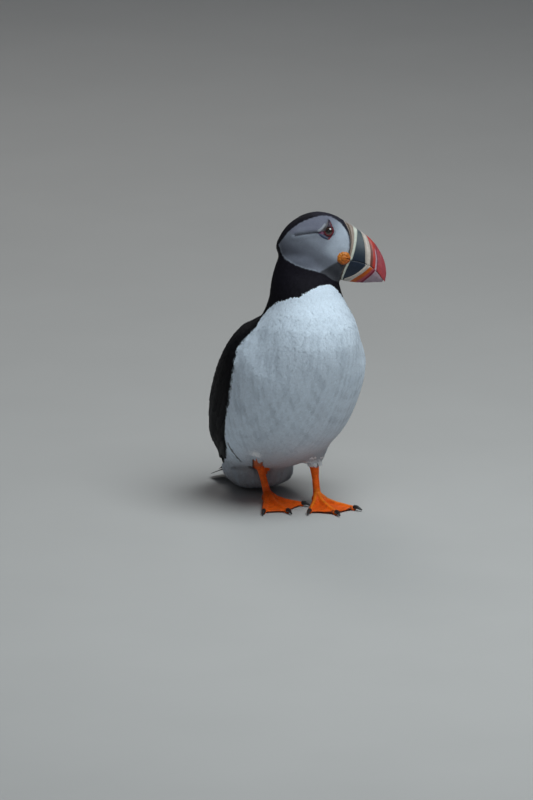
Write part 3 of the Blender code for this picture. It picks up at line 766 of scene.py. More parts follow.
class Skin:
    """The skin's surface: where roots stand, how the coat lies on it, and where they are on its unwrap."""

    def __init__(self, item):
        self.tree = BVHTree.FromObject(item, bpy.context.evaluated_depsgraph_get())
        data = item.data
        data.calc_loop_triangles()
        count = len(data.loop_triangles)
        corners, loops = np.empty(count * 3, np.int32), np.empty(count * 3, np.int32)
        data.loop_triangles.foreach_get("vertices", corners)
        data.loop_triangles.foreach_get("loops", loops)
        uv = np.empty(len(data.loops) * 2, np.float32)
        data.uv_layers["OFBake"].data.foreach_get("uv", uv)
        self.uv = uv.reshape(-1, 2)[loops].reshape(count, 3, 2)
        self.points = points_of(data)[corners].reshape(count, 3, 3)
        self.normals = normals_of(data)[corners].reshape(count, 3, 3)
        sides = self.points[:, 1] - self.points[:, 0], self.points[:, 2] - self.points[:, 0]
        self.areas = np.linalg.norm(np.cross(*sides), axis=1) / 2
        triangles = np.arange(count * 3).reshape(-1, 3)
        self.triangle_tree = BVHTree.FromPolygons(self.points.reshape(-1, 3).tolist(), triangles.tolist())

    def scattered(self, density):
        """Roots at that many for each square millimetre of each triangle: points, normals and map places."""
        filled = np.cumsum(self.areas / MM**2 * density)
        count = int(filled[-1])
        at = (np.arange(count) + DRAW.random(count)) / count * filled[-1]
        face = np.minimum(np.searchsorted(filled, at), len(filled) - 1)
        a, b = DRAW.random(count), DRAW.random(count)
        a, b = np.where(a + b > 1, 1 - a, a), np.where(a + b > 1, 1 - b, b)
        weights = np.stack([1 - a - b, a, b], axis=1)[..., None]
        return [(table[face] * weights).sum(1) for table in (self.points, self.normals, self.uv)]

    def map_places(self, points):
        """Where points on the surface lie on the baking map."""
        return np.array([self.uv[self.triangle_tree.find_nearest(p)[2]].mean(0) for p in points.tolist()])

    def lines(self, roots, normals, headings, lengths, shares, targets=None):
        """Lines laid along the skin, each with a point at every share of its length, and the normals there."""
        points, ups = [roots], [unit(normals)]
        for before, share in zip((0, *shares), (*shares, 1)):
            if targets is not None:
                headings = targets - points[-1]
            headings = unit(headings - (headings * ups[-1]).sum(1, keepdims=True) * ups[-1])
            ahead = points[-1] + headings * (lengths * (share - before))[:, None]
            found = [self.tree.find_nearest(point)[:2] for point in ahead.tolist()]
            points.append(np.array([place for place, _ in found]))
            ups.append(unit(np.array([normal for _, normal in found]) + 0.5 * ups[-1]))
        return np.stack(points, 1), np.stack(ups, 1)


def vane_points(lines, ups, half_widths, thickness, heights, camber, round_over=0.2):
    """Corners of thin closed vanes along lines: a root, rings of four, and a tip, and their soft normals."""
    ways = unit(np.gradient(lines, axis=1))
    across = unit(np.cross(ways, ups))
    over = unit(np.cross(across, ways))
    centres = lines + over * heights[..., None]
    inner, right, up = centres[:, 1:-1], across[:, 1:-1], over[:, 1:-1]
    wide, thick = half_widths[..., None], thickness[..., None]
    drop = up * wide * camber
    ring = np.stack([inner - right * wide - drop, inner + up * thick / 2,
                     inner + right * wide - drop, inner - up * thick / 2], axis=2)
    count, rows = ring.shape[:2]
    corners = np.concatenate([centres[:, :1], ring.reshape(count, rows * 4, 3), centres[:, -1:]], axis=1)
    soft = unit(ups)
    side = across[:, 1:-1] * round_over
    face = np.stack([soft[:, 1:-1] - side, soft[:, 1:-1], soft[:, 1:-1] + side, -soft[:, 1:-1]], axis=2)
    tip = soft[:, -1:] + ways[:, -1:] * round_over
    return corners, unit(np.concatenate([soft[:, :1], face.reshape(count, rows * 4, 3), tip], axis=1))


def vane_faces(rows):
    """Corner lists of one vane's faces, split alike above and below so that neither side shows through."""
    faces = []
    last = (rows - 1) * 4 + 1
    for i in range(4):
        j = (i + 1) % 4
        faces.append((0, 1 + j, 1 + i))
        for row in range(rows - 1):
            near = row * 4 + 1
            a, b, c, d = near + i, near + j, near + 4 + j, near + 4 + i
            faces += [(a, b, c), (a, c, d)] if i % 2 == 0 else [(a, b, d), (b, c, d)]
        faces.append((last + i, last + j, last + 4))
    return faces


def vane_object(name, corners, normals, colours, places, tip_light, shares):
    """One mesh of many vanes. Each is a small patch of the baking map at its root's place."""
    count, per_vane = corners.shape[:2]
    rows = (per_vane - 2) // 4
    faces = vane_faces(rows)
    loops = np.array([corner for face in faces for corner in face])
    sizes = np.array([len(face) for face in faces])
    base = np.arange(count)[:, None] * per_vane
    data = bpy.data.meshes.new(name)
    data.vertices.add(count * per_vane)
    data.vertices.foreach_set("co", corners.astype(np.float32).ravel())
    data.loops.add(count * len(loops))
    data.loops.foreach_set("vertex_index", (base + loops).astype(np.int32).ravel())
    data.polygons.add(count * len(faces))
    starts = np.cumsum(sizes) - sizes
    starts = np.arange(count)[:, None] * len(loops) + starts
    data.polygons.foreach_set("loop_start", starts.astype(np.int32).ravel())
    data.update(calc_edges=True)
    along = np.concatenate([[0.0], np.repeat(shares, 4), [1.0]])
    wide = np.concatenate([[0.5], np.tile([0.0, 0.5, 1.0, 0.5], rows), [0.5]])
    own = np.stack([wide, along], axis=1)[loops]
    bake = data.uv_layers.new(name="OFBake")
    bake.data.foreach_set("uv", (places[:, None] + (own[None] - 0.5) * PATCH).astype(np.float32).ravel())
    vane = data.uv_layers.new(name="Vane")
    vane.data.foreach_set("uv", np.tile(own, (count, 1)).astype(np.float32).ravel())
    data.uv_layers.active = bake
    shade = 1 + tip_light * (along - 0.5)
    colour_points(data, (colours[:, None] * shade[None, :, None]).reshape(-1, 3))
    data.shade_smooth()
    soft = data.attributes.new("custom_normal", "FLOAT_VECTOR", "POINT")
    soft.data.foreach_set("vector", normals.astype(np.float32).ravel())
    return in_scene(name, data)


def coat_sizes(points):
    """Size of a feather at each point, as a share of one on the breast."""
    local = to_head(points)
    far = np.linalg.norm(local - (0, 0, -9), axis=1)
    size = mix(FACE_SIZE, 1.0, ease((far - 26) / 46))
    low = ease((62 - points[:, 2] / MM) / 30) * (points[:, 1] < 0.0)
    return size * mix(1.0, 0.72, low)


def clear_of_eye(points):
    """Shortens feathers near the bare skin round the eye: 1 away from it, small beside it."""
    local = to_head(points)
    beside = (np.abs(local[:, 1]) > 8) & by_eye(local)
    outside = -depth_inside(local[:, (0, 2)], EYE_TRIANGLE)
    return np.where(beside, np.clip(0.45 + outside / 5, 0.45, 1.0), 1.0)


UNDER_WING = 0.3  # height of the small feathers under a folded wing, as a share of the coat's depth
VENT_FLUFF = 1.5  # how much further the loose feathers beside the vent stand out, as a share of the coat


def under_wing(points):
    """1 under the folded wings, and 0 outside their outlines."""
    at, angle = trunk_places(points)
    low, high = wing_edges(at)
    inside = np.minimum(low - angle, angle - high) / 5
    return ease(np.minimum(inside, np.minimum(at - 0.9, WING[-1][0] - at) / 0.25))


def small_feathers(skin, materials):
    """The body's contour feathers and the velvet of head and neck."""
    middles = skin.points.mean(1)
    size = coat_sizes(middles)
    at, angle = trunk_places(middles)
    local = to_head(middles)
    trim, _ = eye_trim(local)
    bare = (trim > 0.35) & by_eye(local)
    under_bill = (depth_inside(local[:, (0, 2)], (*BILL_RIM, (60, -28), (60, 14))) > 0.4) & (local[:, 0] > 0)
    under_bill &= np.linalg.norm(local, axis=1) < 60
    rump_end = (at < 0.12) & (angle < 15)
    wanted = ~rump_end & ~bare & ~under_bill & (bare_leg(middles) < 0.5) & (middles[:, 2] > 3 * MM)
    size = size * clear_of_eye(middles)
    density = FEATHERS_PER_MM2 / size**2 * wanted
    roots, normals, places = skin.scattered(density)
    size = coat_sizes(roots) * clear_of_eye(roots)
    count = len(roots)
    headings = flow(roots)
    normals = unit(normals)
    headings = unit(headings - (headings * normals).sum(1, keepdims=True) * normals)
    sideways = np.cross(normals, headings)
    headings = headings + sideways * (0.10 * DRAW.standard_normal(count))[:, None]
    lengths = FEATHER_LENGTH * size * DRAW.uniform(0.85, 1.15, count) * MM
    lines, ups = skin.lines(roots, normals, headings, lengths, SMALL_SHARES)
    widths = FEATHER_WIDTH / 2 * size * DRAW.uniform(0.85, 1.15, count) * MM
    profile = np.array(SMALL_PROFILE)
    depth = coat_depths(roots) * mix(1.0, UNDER_WING, under_wing(roots)) * MM
    tip = depth * DRAW.uniform(0.94, 1.04, count)
    tufted = np.zeros(count)
    for middle, reach in TUFTS:
        near = np.linalg.norm(roots - np.array(middle) * MM, axis=1) / MM
        tufted = np.maximum(tufted, ease((reach - near) / reach))
    at, angle = trunk_places(roots)
    below_edge = angle - np.interp(at, EDGE_AT, EDGE_ANGLE)
    vent = ease((at - 0.2) / 0.5) * ease((2.6 - at) / 0.6)
    vent = vent * ease((below_edge - 3) / 10) * ease((80 - angle) / 20)
    tip = tip * (1 + 0.25 * tufted + VENT_FLUFF * vent)
    heights = np.stack([-0.1 * depth, 0.60 * tip, 0.95 * tip, 0.86 * tip], axis=1)
    thick = np.minimum(0.12 * widths[:, None] * np.array((1.0, 0.7)), 0.2 * MM)
    corners, soft = vane_points(lines, ups, widths[:, None] * profile, thick, heights, 0.12, 0.16)
    colours, kinds = markings(corners[:, 7])
    colours = washed(colours, (TUFT_WHITE, tufted * (kinds == WHITE)))
    colours = colours * np.clip(1 + 0.035 * DRAW.standard_normal(count), 0.85, 1.15)[:, None]
    ends = to_head(corners[:, -1])
    covers, _ = eye_trim(ends)
    kept = ~((covers > 0.5) & by_eye(ends)) & (bare_leg(corners[:, -1]) < 0.9)
    for kind, (name, slot) in KINDS.items():
        mine = np.flatnonzero((kinds == kind) & kept)
        mine = mine[np.argsort(corners[mine, 0, 2], kind="stable")]
        parts = max(1, math.ceil(len(mine) / MOST_VANES))
        for number, part in enumerate(np.array_split(mine, parts)):
            chosen = [values[part] for values in (corners, soft, colours, places)]
            finished(vane_object(f"{name}_{number + 1}", *chosen, 0.06, SMALL_SHARES), materials[slot], slot)


def heel_distance(points):
    """Millimetres from the line down the right heel."""
    far = np.full(len(points), 1e9)
    for a, b in zip(HEEL_BULB, HEEL_BULB[1:]):
        share = np.clip(((points - a) @ (b - a)) / ((b - a) @ (b - a)), 0, 1)
        far = np.minimum(far, np.linalg.norm(points - a - share[:, None] * (b - a), axis=1) / MM)
    return far


def bare_leg(points):
    """1 on the shanks, heels and feet, where no feather grows, and 0 on the plumage."""
    bare = np.zeros(len(points))
    for side, _ in SIDES:
        line = np.array([JOINTS[side] - (0, 0, 7 * MM), JOINTS[side], HEELS[side] + (0, 0, 4 * MM)])
        height = np.clip(points[:, 2], line[0, 2], line[-1, 2])
        middle = np.stack([np.interp(height, line[:, 2], line[:, axis]) for axis in (0, 1)], axis=1)
        near = np.linalg.norm(points[:, :2] - middle, axis=1) < 9.5 * MM
        edge = BARE_BELOW[side] + 0.8 * ripple(points, 2.5)
        bare = np.maximum(bare, near * ease((edge - points[:, 2] / MM) / 1.0 + 0.5))
        foot = (np.linalg.norm(points[:, :2] - JOINTS[side][:2], axis=1) < 50 * MM) & (points[:, 2] < 7.5 * MM)
        ahead_of_joint = points[:, 1] < JOINTS[side][1] + 6 * MM
        bare = np.maximum(bare, foot & ahead_of_joint)
    return np.maximum(bare, ease((HEEL_BULB_RADIUS - heel_distance(points)) / 0.8 + 0.5))


# ---- Wings and tail ----

# A folded wing on the trunk's side: place along the trunk, and the angles of its lower and upper edge.
WING = (
    (0.8, -10.0, -56.0), (1.5, 2.0, -74.0), (2.2, 11.0, -86.0), (2.8, 16.0, -88.0), (3.2, 10.0, -89.0),
    (4.2, 8.5, -89.0), (5.0, 5.5, -86.0), (5.7, 1.0, -76.0), (6.3, -9.0, -60.0), (6.6, -16.0, -38.0),
)

# Tracts of the wing from the shoulder back: first and last place along the trunk, rows, feathers in a
# row, share of the way across the wing where they start and end, length, width, height off the skin and
# lift at the tips.
TRACTS = {
    "primary_coverts": ((3.4, 2.9), 2, 6, (0.04, 0.32), 15.0, 5.2, 1.45, 0.3),
    "secondaries": ((3.6, 2.9), 3, 18, (0.07, 1.0), 30.0, 8.6, 1.15, 1.3),
    "large_coverts": ((4.3, 3.8), 2, 21, (0.0, 1.0), 19.0, 6.8, 1.2, 0.5),
    "middle_coverts": ((5.0, 4.45), 3, 23, (0.0, 1.0), 13.0, 6.0, 1.25, 0.1),
    "small_coverts": ((6.5, 5.1), 12, 24, (0.0, 1.0), 9.0, 5.0, 1.25, 0.0),
    "scapulars": ((6.3, 3.7), 11, 6, (0.80, 1.0), 16.0, 7.6, 1.5, 0.1),
}
PRIMARIES, PRIMARY_LENGTH, PRIMARY_WIDTH = 9, 67.0, 6.8


def on_skin(skin, at, degrees, sign):
    """The skin's surface at that place along the trunk and angle round it, and its normal."""
    middle, _, to_belly, (half_width, back, belly) = trunk_section(at)
    angle = math.radians(degrees)
    out = np.array((sign * math.cos(angle) * half_width, 0, 0))
    out = out + to_belly * math.sin(angle) * (belly if degrees > 0 else back)
    way = out / np.linalg.norm(out)
    place, normal, _, _ = skin.tree.ray_cast(Vector(middle + way * 0.15), Vector(-way))
    if place is None:
        place, normal, _, _ = skin.tree.find_nearest(Vector(middle + out))
    return np.array(place), np.array(normal)


def wing_edges(at):
    rows = np.array(WING)
    return np.interp(at, rows[:, 0], rows[:, 1]), np.interp(at, rows[:, 0], rows[:, 2])


LONG_SHARES = (0.12, 0.3, 0.5, 0.7, 0.85, 0.95)
LONG_STEPS = np.array((0, *LONG_SHARES, 1))
LONG_PROFILE = np.array((0.55, 0.86, 1.0, 0.98, 0.80, 0.48))
LONG_CAMBER, LONG_ROUND = 0.16, 0.35


def thinning(most, least, count):
    """Thickness along each of that many long feathers, thinner to the tip."""
    return np.tile(np.maximum(most * (1 - 0.6 * np.array(LONG_SHARES)), least) * MM, (count, 1))


def long_piece(name, skin, corners, soft, shade, material, node):
    """One piece of long dark feathers, each a little lighter or darker than the next."""
    colours = np.array(BLACK_COAT) * DRAW.uniform(*shade, (len(corners), 1))
    places = skin.map_places(corners[:, 0])
    item = vane_object(name, corners, soft, colours, places, -0.2, LONG_SHARES)
    return finished(item, material, "black_plumage", node)


def long_vanes(skin, rows, length, width, height, lift=0.0, targets=None):
    """Larger feathers with rows of roots, all of about one size. Their tips stand off the body by the lift."""
    roots, normals = (np.array(values) for values in zip(*rows))
    count = len(roots)
    headings = flow(roots, BODY_FLOW)
    lengths = np.full(count, length) * DRAW.uniform(0.94, 1.06, count) * MM
    lines, ups = skin.lines(roots, normals, headings, lengths, LONG_SHARES, targets)
    half = np.full(count, width / 2) * DRAW.uniform(0.93, 1.07, count) * MM
    rise = np.concatenate([[-0.2], 0.35 + 0.65 * np.array(LONG_SHARES), [1.0]])
    heights = (height * MM) * rise[None] + (DRAW.uniform(-0.12, 0.12, count) * MM)[:, None]
    heights = heights + lift * MM * LONG_STEPS**1.5
    half = half[:, None] * LONG_PROFILE
    return vane_points(lines, ups, half, thinning(0.35, 0.12, count), heights, LONG_CAMBER, LONG_ROUND)


# Tips of the longest primaries, out from the middle, back and up.
WING_TIPS = ((18.5, 72.0, 17.0), (17.5, 75.0, 20.0), (16.5, 77.5, 23.0), (15.0, 79.0, 26.0))


def wing_tips(skin, sign):
    """The longest primaries, whose tips lie in beside the rump and over the tail's root."""
    share = LONG_STEPS[:, None]
    lines, ups = [], []
    for i, tip in enumerate(WING_TIPS):
        root, out = on_skin(skin, 2.9, -6.0 - 4 * i, sign)
        bend, bend_out = on_skin(skin, 1.4, -4.0 - 4 * i, sign)
        bend = bend + bend_out * 2.4 * MM
        tip = np.array(TRUNK_ORIGIN) + np.array(tip) * (sign, 1, 1) * MM
        lines.append(bent(root, bend, tip, share))
        ups.append(unit((1 - share) * out + share * (sign * 0.75, 0.1, 0.6)))
    count = len(lines)
    half = np.full((count, 1), 4.4 * MM) * LONG_PROFILE
    heights = np.zeros((count, len(share)))
    thick = thinning(0.35, 0.14, count)
    return vane_points(np.array(lines), np.array(ups), half, thick, heights, 0.14, LONG_ROUND)


def wing_feathers(skin, side, sign, material):
    """The folded wing: small, middle and large coverts, secondaries, scapulars and the long primaries."""
    parts = []
    for (start, end), rows, across, (low_share, high_share), length, width, height, lift in TRACTS.values():
        placed = []
        for row in range(rows):
            at = mix(start, end, row / max(rows - 1, 1))
            low, high = wing_edges(at)
            for i in range(across):
                share = mix(low_share, high_share, (i + 0.5 * (row % 2)) / (across - 0.5))
                share += 0.012 * DRAW.standard_normal()
                placed.append(on_skin(skin, at + 0.03 * DRAW.standard_normal(), mix(low, high, share), sign))
        parts.append(long_vanes(skin, placed, length, width, height, lift))
    placed, targets = [], []
    for i in range(PRIMARIES):
        share = i / (PRIMARIES - 1)
        placed.append(on_skin(skin, mix(3.5, 2.6, share), mix(-1.0, -22.0, share), sign))
        targets.append(on_skin(skin, mix(0.6, 0.2, share), mix(-8.0, -52.0, share), sign)[0])
    parts.insert(1, long_vanes(skin, placed, PRIMARY_LENGTH, PRIMARY_WIDTH, 1.3, 2.4, np.array(targets)))
    parts.append(wing_tips(skin, sign))
    corners, soft = (np.concatenate(values) for values in zip(*parts))
    return long_piece(f"wing_feathers_{side}", skin, corners, soft, (0.75, 1.35), material, f"wing_{side}")


TAIL = ((-56.0, 27.5, 8.0), (-72.0, 19.5, 13.0), (-85.0, 12.4, 16.5), (-95.0, 7.8, 18.0), (-101.0, 5.4, 18.0))
TAIL_ROOF = 0.16
TAIL_FEATHERS = 16
# Rows of coverts over the tail's root: where they start along the trunk, how far down the tail they
# reach, and their lift off it.
TAIL_COVERTS = ((0.30, 0.84, 0.8), (0.50, 0.72, 1.6), (0.75, 0.60, 2.4), (1.0, 0.50, 3.2))
COVERTS_IN_ROW = 13
TAIL_PROFILE = np.array((0.7, 0.9, 1.0, 1.0, 0.95, 0.72))


def upwards(lines):
    """The way up across lines that run down the tail."""
    level = unit(np.cross((1.0, 0.0, 0.0), unit(np.gradient(lines, axis=1))))
    return level * np.sign(level[..., 2:3])


def tail_feathers(skin, material):
    """The short tail: a fan of sixteen feathers, with rows of coverts over its root."""
    line = smooth_rows(TAIL, 4)
    spread = np.linspace(-1, 1, TAIL_FEATHERS)
    lines = []
    for s in spread:
        reach = LONG_STEPS * (1 - 0.10 * s * s) * DRAW.uniform(0.975, 1.0) * (len(line) - 1)
        rows = np.stack([np.interp(reach, np.arange(len(line)), line[:, axis]) for axis in range(3)], axis=1)
        side = rows[:, 2] * s * 0.86
        stack = 0.3 * (abs(s) < 0.1) * (s > 0)
        points = np.stack([side, -rows[:, 0], rows[:, 1] - TAIL_ROOF * np.abs(side) + stack - 0.4], axis=1)
        lines.append(points * MM + np.array(TRUNK_ORIGIN))
    lines = np.array(lines)
    ups = unit(upwards(lines) + np.stack([0.22 * spread, 0 * spread, 0 * spread], axis=1)[:, None])
    count = len(lines)
    half = np.full(count, 3.6 * MM)[:, None] * TAIL_PROFILE
    flat = np.zeros(lines.shape[:2])
    fan = vane_points(lines, ups, half, thinning(0.5, 0.2, count), flat, 0.10, 0.3)
    covert_lines = []
    for start, reach_out, lift in TAIL_COVERTS:
        for s in np.linspace(-1, 1, COVERTS_IN_ROW) + 0.03 * DRAW.standard_normal(COVERTS_IN_ROW):
            angle, sign = -88 + 62 * min(abs(s), 1.0), 1 if s > 0 else -1
            above, out = on_skin(skin, start, angle, sign)
            turn, turn_out = on_skin(skin, 0.12, angle, sign)
            under = lines[int(round((min(max(s, -1), 1) + 1) / 2 * (count - 1)))]
            rest = mix(under[0], under[-1], reach_out * DRAW.uniform(0.92, 1.06)) + (0, 0, lift * MM)
            above, turn = above + out * 0.9 * MM, turn + turn_out * (1.6 + 0.7 * lift) * MM
            share = LONG_STEPS[:, None]
            covert_lines.append(bent(above, turn, rest, share))
    covert_lines = np.array(covert_lines)
    covert_ups = upwards(covert_lines)
    covert_ups[..., 0] += 0.25 * (covert_lines[..., 0] - TRUNK_ORIGIN[0]) / (18 * MM)
    count = len(covert_lines)
    half = np.full(count, 3.1 * MM)[:, None] * LONG_PROFILE
    flat = np.zeros(covert_lines.shape[:2])
    coverts = vane_points(covert_lines, covert_ups, half, thinning(0.5, 0.2, count), flat, 0.14, 0.3)
    corners, soft = (np.concatenate(values) for values in zip(fan, coverts))
    return long_piece("tail_feathers", skin, corners, soft, (0.8, 1.3), material, "tail")


# ---- Bill, rosettes, eyes and claws ----

CULMEN = ((2.0, 12.6), (11.6, 12.3), (22.5, 11.0), (33.4, 8.0), (44.0, 1.4), (50.6, -6.2), (53.2, -12.2))
GONYS = ((2.0, -26.0), (20.0, -28.2), (28.0, -26.8), (38.6, -22.5), (48.0, -17.0), (51.6, -15.1))
GAPE = ((2.0, -13.5), (20.0, -12.5), (30.0, -9.8), (37.0, -8.8), (45.0, -10.0), (53.2, -13.8))
# Half of the bill's width at its widest, by millimetres ahead of the eye.
HALF_WIDTH = ((2.0, 8.6), (20.0, 8.8), (30.0, 7.4), (40.0, 5.6), (48.0, 3.8), (52.8, 2.2), (54.3, 1.0))
MOUTH_GAP = 0.16

# Lines across the upper half of the bill, each from the culmen to the gape.
UPPER_LINES = (
    ((0.4, 12.6), (7.0, 8.4), (12.2, 3.6), (15.8, -1.8), (18.0, -7.2), (18.8, -12.6)),
    ((3.4, 12.6), (10.3, 8.6), (15.2, 4.0), (18.7, -1.5), (20.8, -7.0), (21.5, -12.2)),
    ((9.6, 12.4), (13.4, 9.6), (17.5, 4.4), (20.7, -1.4), (22.5, -7.1), (23.0, -11.9)),
    ((13.4, 12.2), (16.4, 9.9), (19.9, 4.1), (22.5, -1.8), (24.0, -7.2), (24.4, -11.6)),
    ((17.0, 11.8), (21.2, 9.0), (27.0, 3.9), (31.8, -1.8), (34.4, -6.2), (35.3, -9.0)),
    ((22.4, 11.0), (26.2, 8.8), (31.3, 4.5), (35.7, -1.4), (38.2, -6.0), (38.9, -8.9)),
    ((25.4, 10.4), (28.6, 8.2), (33.2, 4.2), (37.5, -1.2), (40.2, -6.2), (41.1, -9.2)),
    ((30.0, 9.1), (32.4, 6.8), (35.6, 3.5), (39.6, -1.1), (42.6, -6.8), (43.3, -9.6)),
    ((31.7, 8.6), (33.9, 6.3), (37.0, 3.0), (41.0, -1.5), (43.9, -7.0), (44.6, -9.9)),
    ((37.8, 5.7), (39.7, 3.0), (42.6, -0.8), (45.5, -4.9), (47.2, -8.5), (47.7, -10.9)),
    ((39.1, 4.9), (41.0, 2.2), (43.8, -1.5), (46.5, -5.5), (48.1, -8.9), (48.6, -11.3)),
    ((50.4, -6.0), (50.9, -8.0), (51.3, -9.5), (51.5, -10.7), (51.7, -11.9), (51.8, -13.0)),
    ((53.2, -12.2), (53.2, -12.5), (53.2, -12.8), (53.2, -13.1), (53.2, -13.4), (53.2, -13.7)),
)
# The same across the lower half, from the gape to the keel.
LOWER_LINES = (
    ((18.8, -12.6), (19.4, -16.0), (19.8, -20.0), (20.2, -24.5), (20.4, -28.0)),
    ((21.5, -12.2), (22.0, -16.0), (22.2, -20.0), (22.5, -24.5), (22.8, -28.0)),
    ((22.1, -12.1), (22.5, -16.0), (22.7, -20.0), (23.0, -24.4), (23.3, -27.9)),
    ((23.6, -11.8), (23.8, -16.0), (24.0, -20.0), (24.2, -24.0), (24.4, -27.7)),
    (
        (35.3, -9.0), (35.8, -11.6), (34.2, -15.4), (31.2, -20.0), (27.6, -23.4), (25.4, -24.8), (24.9, -26.2),
        (24.9, -27.6),
    ),
    ((38.9, -8.9), (38.6, -11.6), (36.4, -15.9), (33.9, -19.6), (31.4, -23.0), (29.0, -26.6)),
    ((41.2, -9.3), (41.0, -11.8), (39.4, -15.6), (37.4, -19.0), (35.2, -22.0), (33.2, -25.2)),
    ((42.6, -9.6), (42.5, -11.8), (41.2, -15.2), (39.4, -18.4), (37.6, -21.2), (36.0, -23.9)),
    ((43.6, -9.8), (43.6, -11.9), (42.5, -15.0), (41.0, -17.8), (39.4, -20.4), (38.2, -22.7)),
    ((48.4, -11.4), (48.4, -13.0), (48.0, -14.8), (47.6, -16.2), (47.2, -17.5)),
    ((51.6, -13.3), (51.6, -13.7), (51.6, -14.2), (51.6, -14.7), (51.6, -15.1)),
)
BUFF, CREAM, LINE_CREAM = (0.27, 0.205, 0.165), (0.52, 0.455, 0.40), (0.58, 0.60, 0.52)
CULMEN_GREY = (0.33, 0.31, 0.31)
SLATE_GREEN, SLATE_BLUE = (0.021, 0.043, 0.050), (0.014, 0.022, 0.038)
BROWN_RED, SCARLET = (0.15, 0.040, 0.030), (0.42, 0.036, 0.026)
ROSE_RED, CRIMSON = (0.33, 0.055, 0.068), (0.17, 0.012, 0.032)
GROOVE_PINK, ORANGE_BAND, TIP_PALE = (0.42, 0.29, 0.34), (0.44, 0.085, 0.008), (0.34, 0.25, 0.29)
UPPER_BANDS = (BUFF, BUFF, LINE_CREAM, SLATE_GREEN, CREAM, BROWN_RED, SCARLET, GROOVE_PINK, ROSE_RED, ROSE_RED,
               ROSE_RED, ROSE_RED)
LOWER_BANDS = (BUFF, BUFF, LINE_CREAM, SLATE_BLUE, CREAM, ORANGE_BAND, ROSE_RED, CRIMSON, TIP_PALE, TIP_PALE)
# Height of the bill's surface over its plain form, at each line and at places between them.
UPPER_RELIEF = (
    (0.0, -0.8), (0.96, -0.3), (1.04, 0.25), (1.3, 0.75), (1.7, 0.75), (1.94, 0.35), (2.06, 0.3), (2.3, 0.7),
    (2.7, 0.62), (2.98, 0.05), (3.1, -0.1), (3.9, -0.1), (4.02, 0.05), (4.3, 0.6), (4.7, 0.55), (5.0, 0.02),
    (5.15, -0.12), (5.9, -0.05), (6.1, 0.0), (6.5, 0.12), (6.95, 0.02), (7.2, -0.38), (7.8, -0.38),
    (8.05, 0.05), (8.95, 0.05), (9.2, -0.2), (9.8, -0.2), (10.1, 0.0), (12.0, 0.0),
)
LOWER_RELIEF = (
    (0.0, -0.8), (0.96, -0.3), (1.04, 0.1), (1.5, 0.4), (2.5, 0.4), (2.95, 0.0), (3.1, -0.1), (3.9, -0.1),
    (4.05, 0.05), (4.3, 0.5), (4.7, 0.45), (5.0, 0.02), (5.2, -0.05), (5.9, 0.0), (6.2, 0.08), (6.9, 0.0),
    (7.15, -0.25), (7.85, -0.25), (8.1, 0.03), (10.0, 0.0),
)


def resampled(line, shares):
    """Points at those shares of a line's length."""
    points = smooth_rows(line, 6)
    reach = np.concatenate([[0], np.cumsum(np.linalg.norm(np.diff(points, axis=0), axis=1))])
    return np.stack([np.interp(shares * reach[-1], reach, points[:, axis]) for axis in (0, 1)], axis=1)


def curve_at(line, ahead):
    """Height, or whatever else the line gives, at places ahead of the eye."""
    points = smooth_rows(line, 8)
    return np.interp(ahead, points[:, 0], points[:, 1])


def band_places(lines, step):
    """Places across the lines, close on both sides of each, and about a step apart between them."""
    places = [0.0]
    for k, (line, following) in enumerate(zip(lines, lines[1:])):
        here, there = (np.array(row)[[0, len(row) // 2, -1]] for row in (line, following))
        gap = np.linalg.norm(there - here, axis=1).max()
        inner = max(2, int(gap / step))
        places += [k + 0.05, *(k + 0.05 + 0.9 * (np.arange(inner) + 1) / (inner + 1)), k + 0.95]
    return np.array([*places, len(lines) - 1.0])


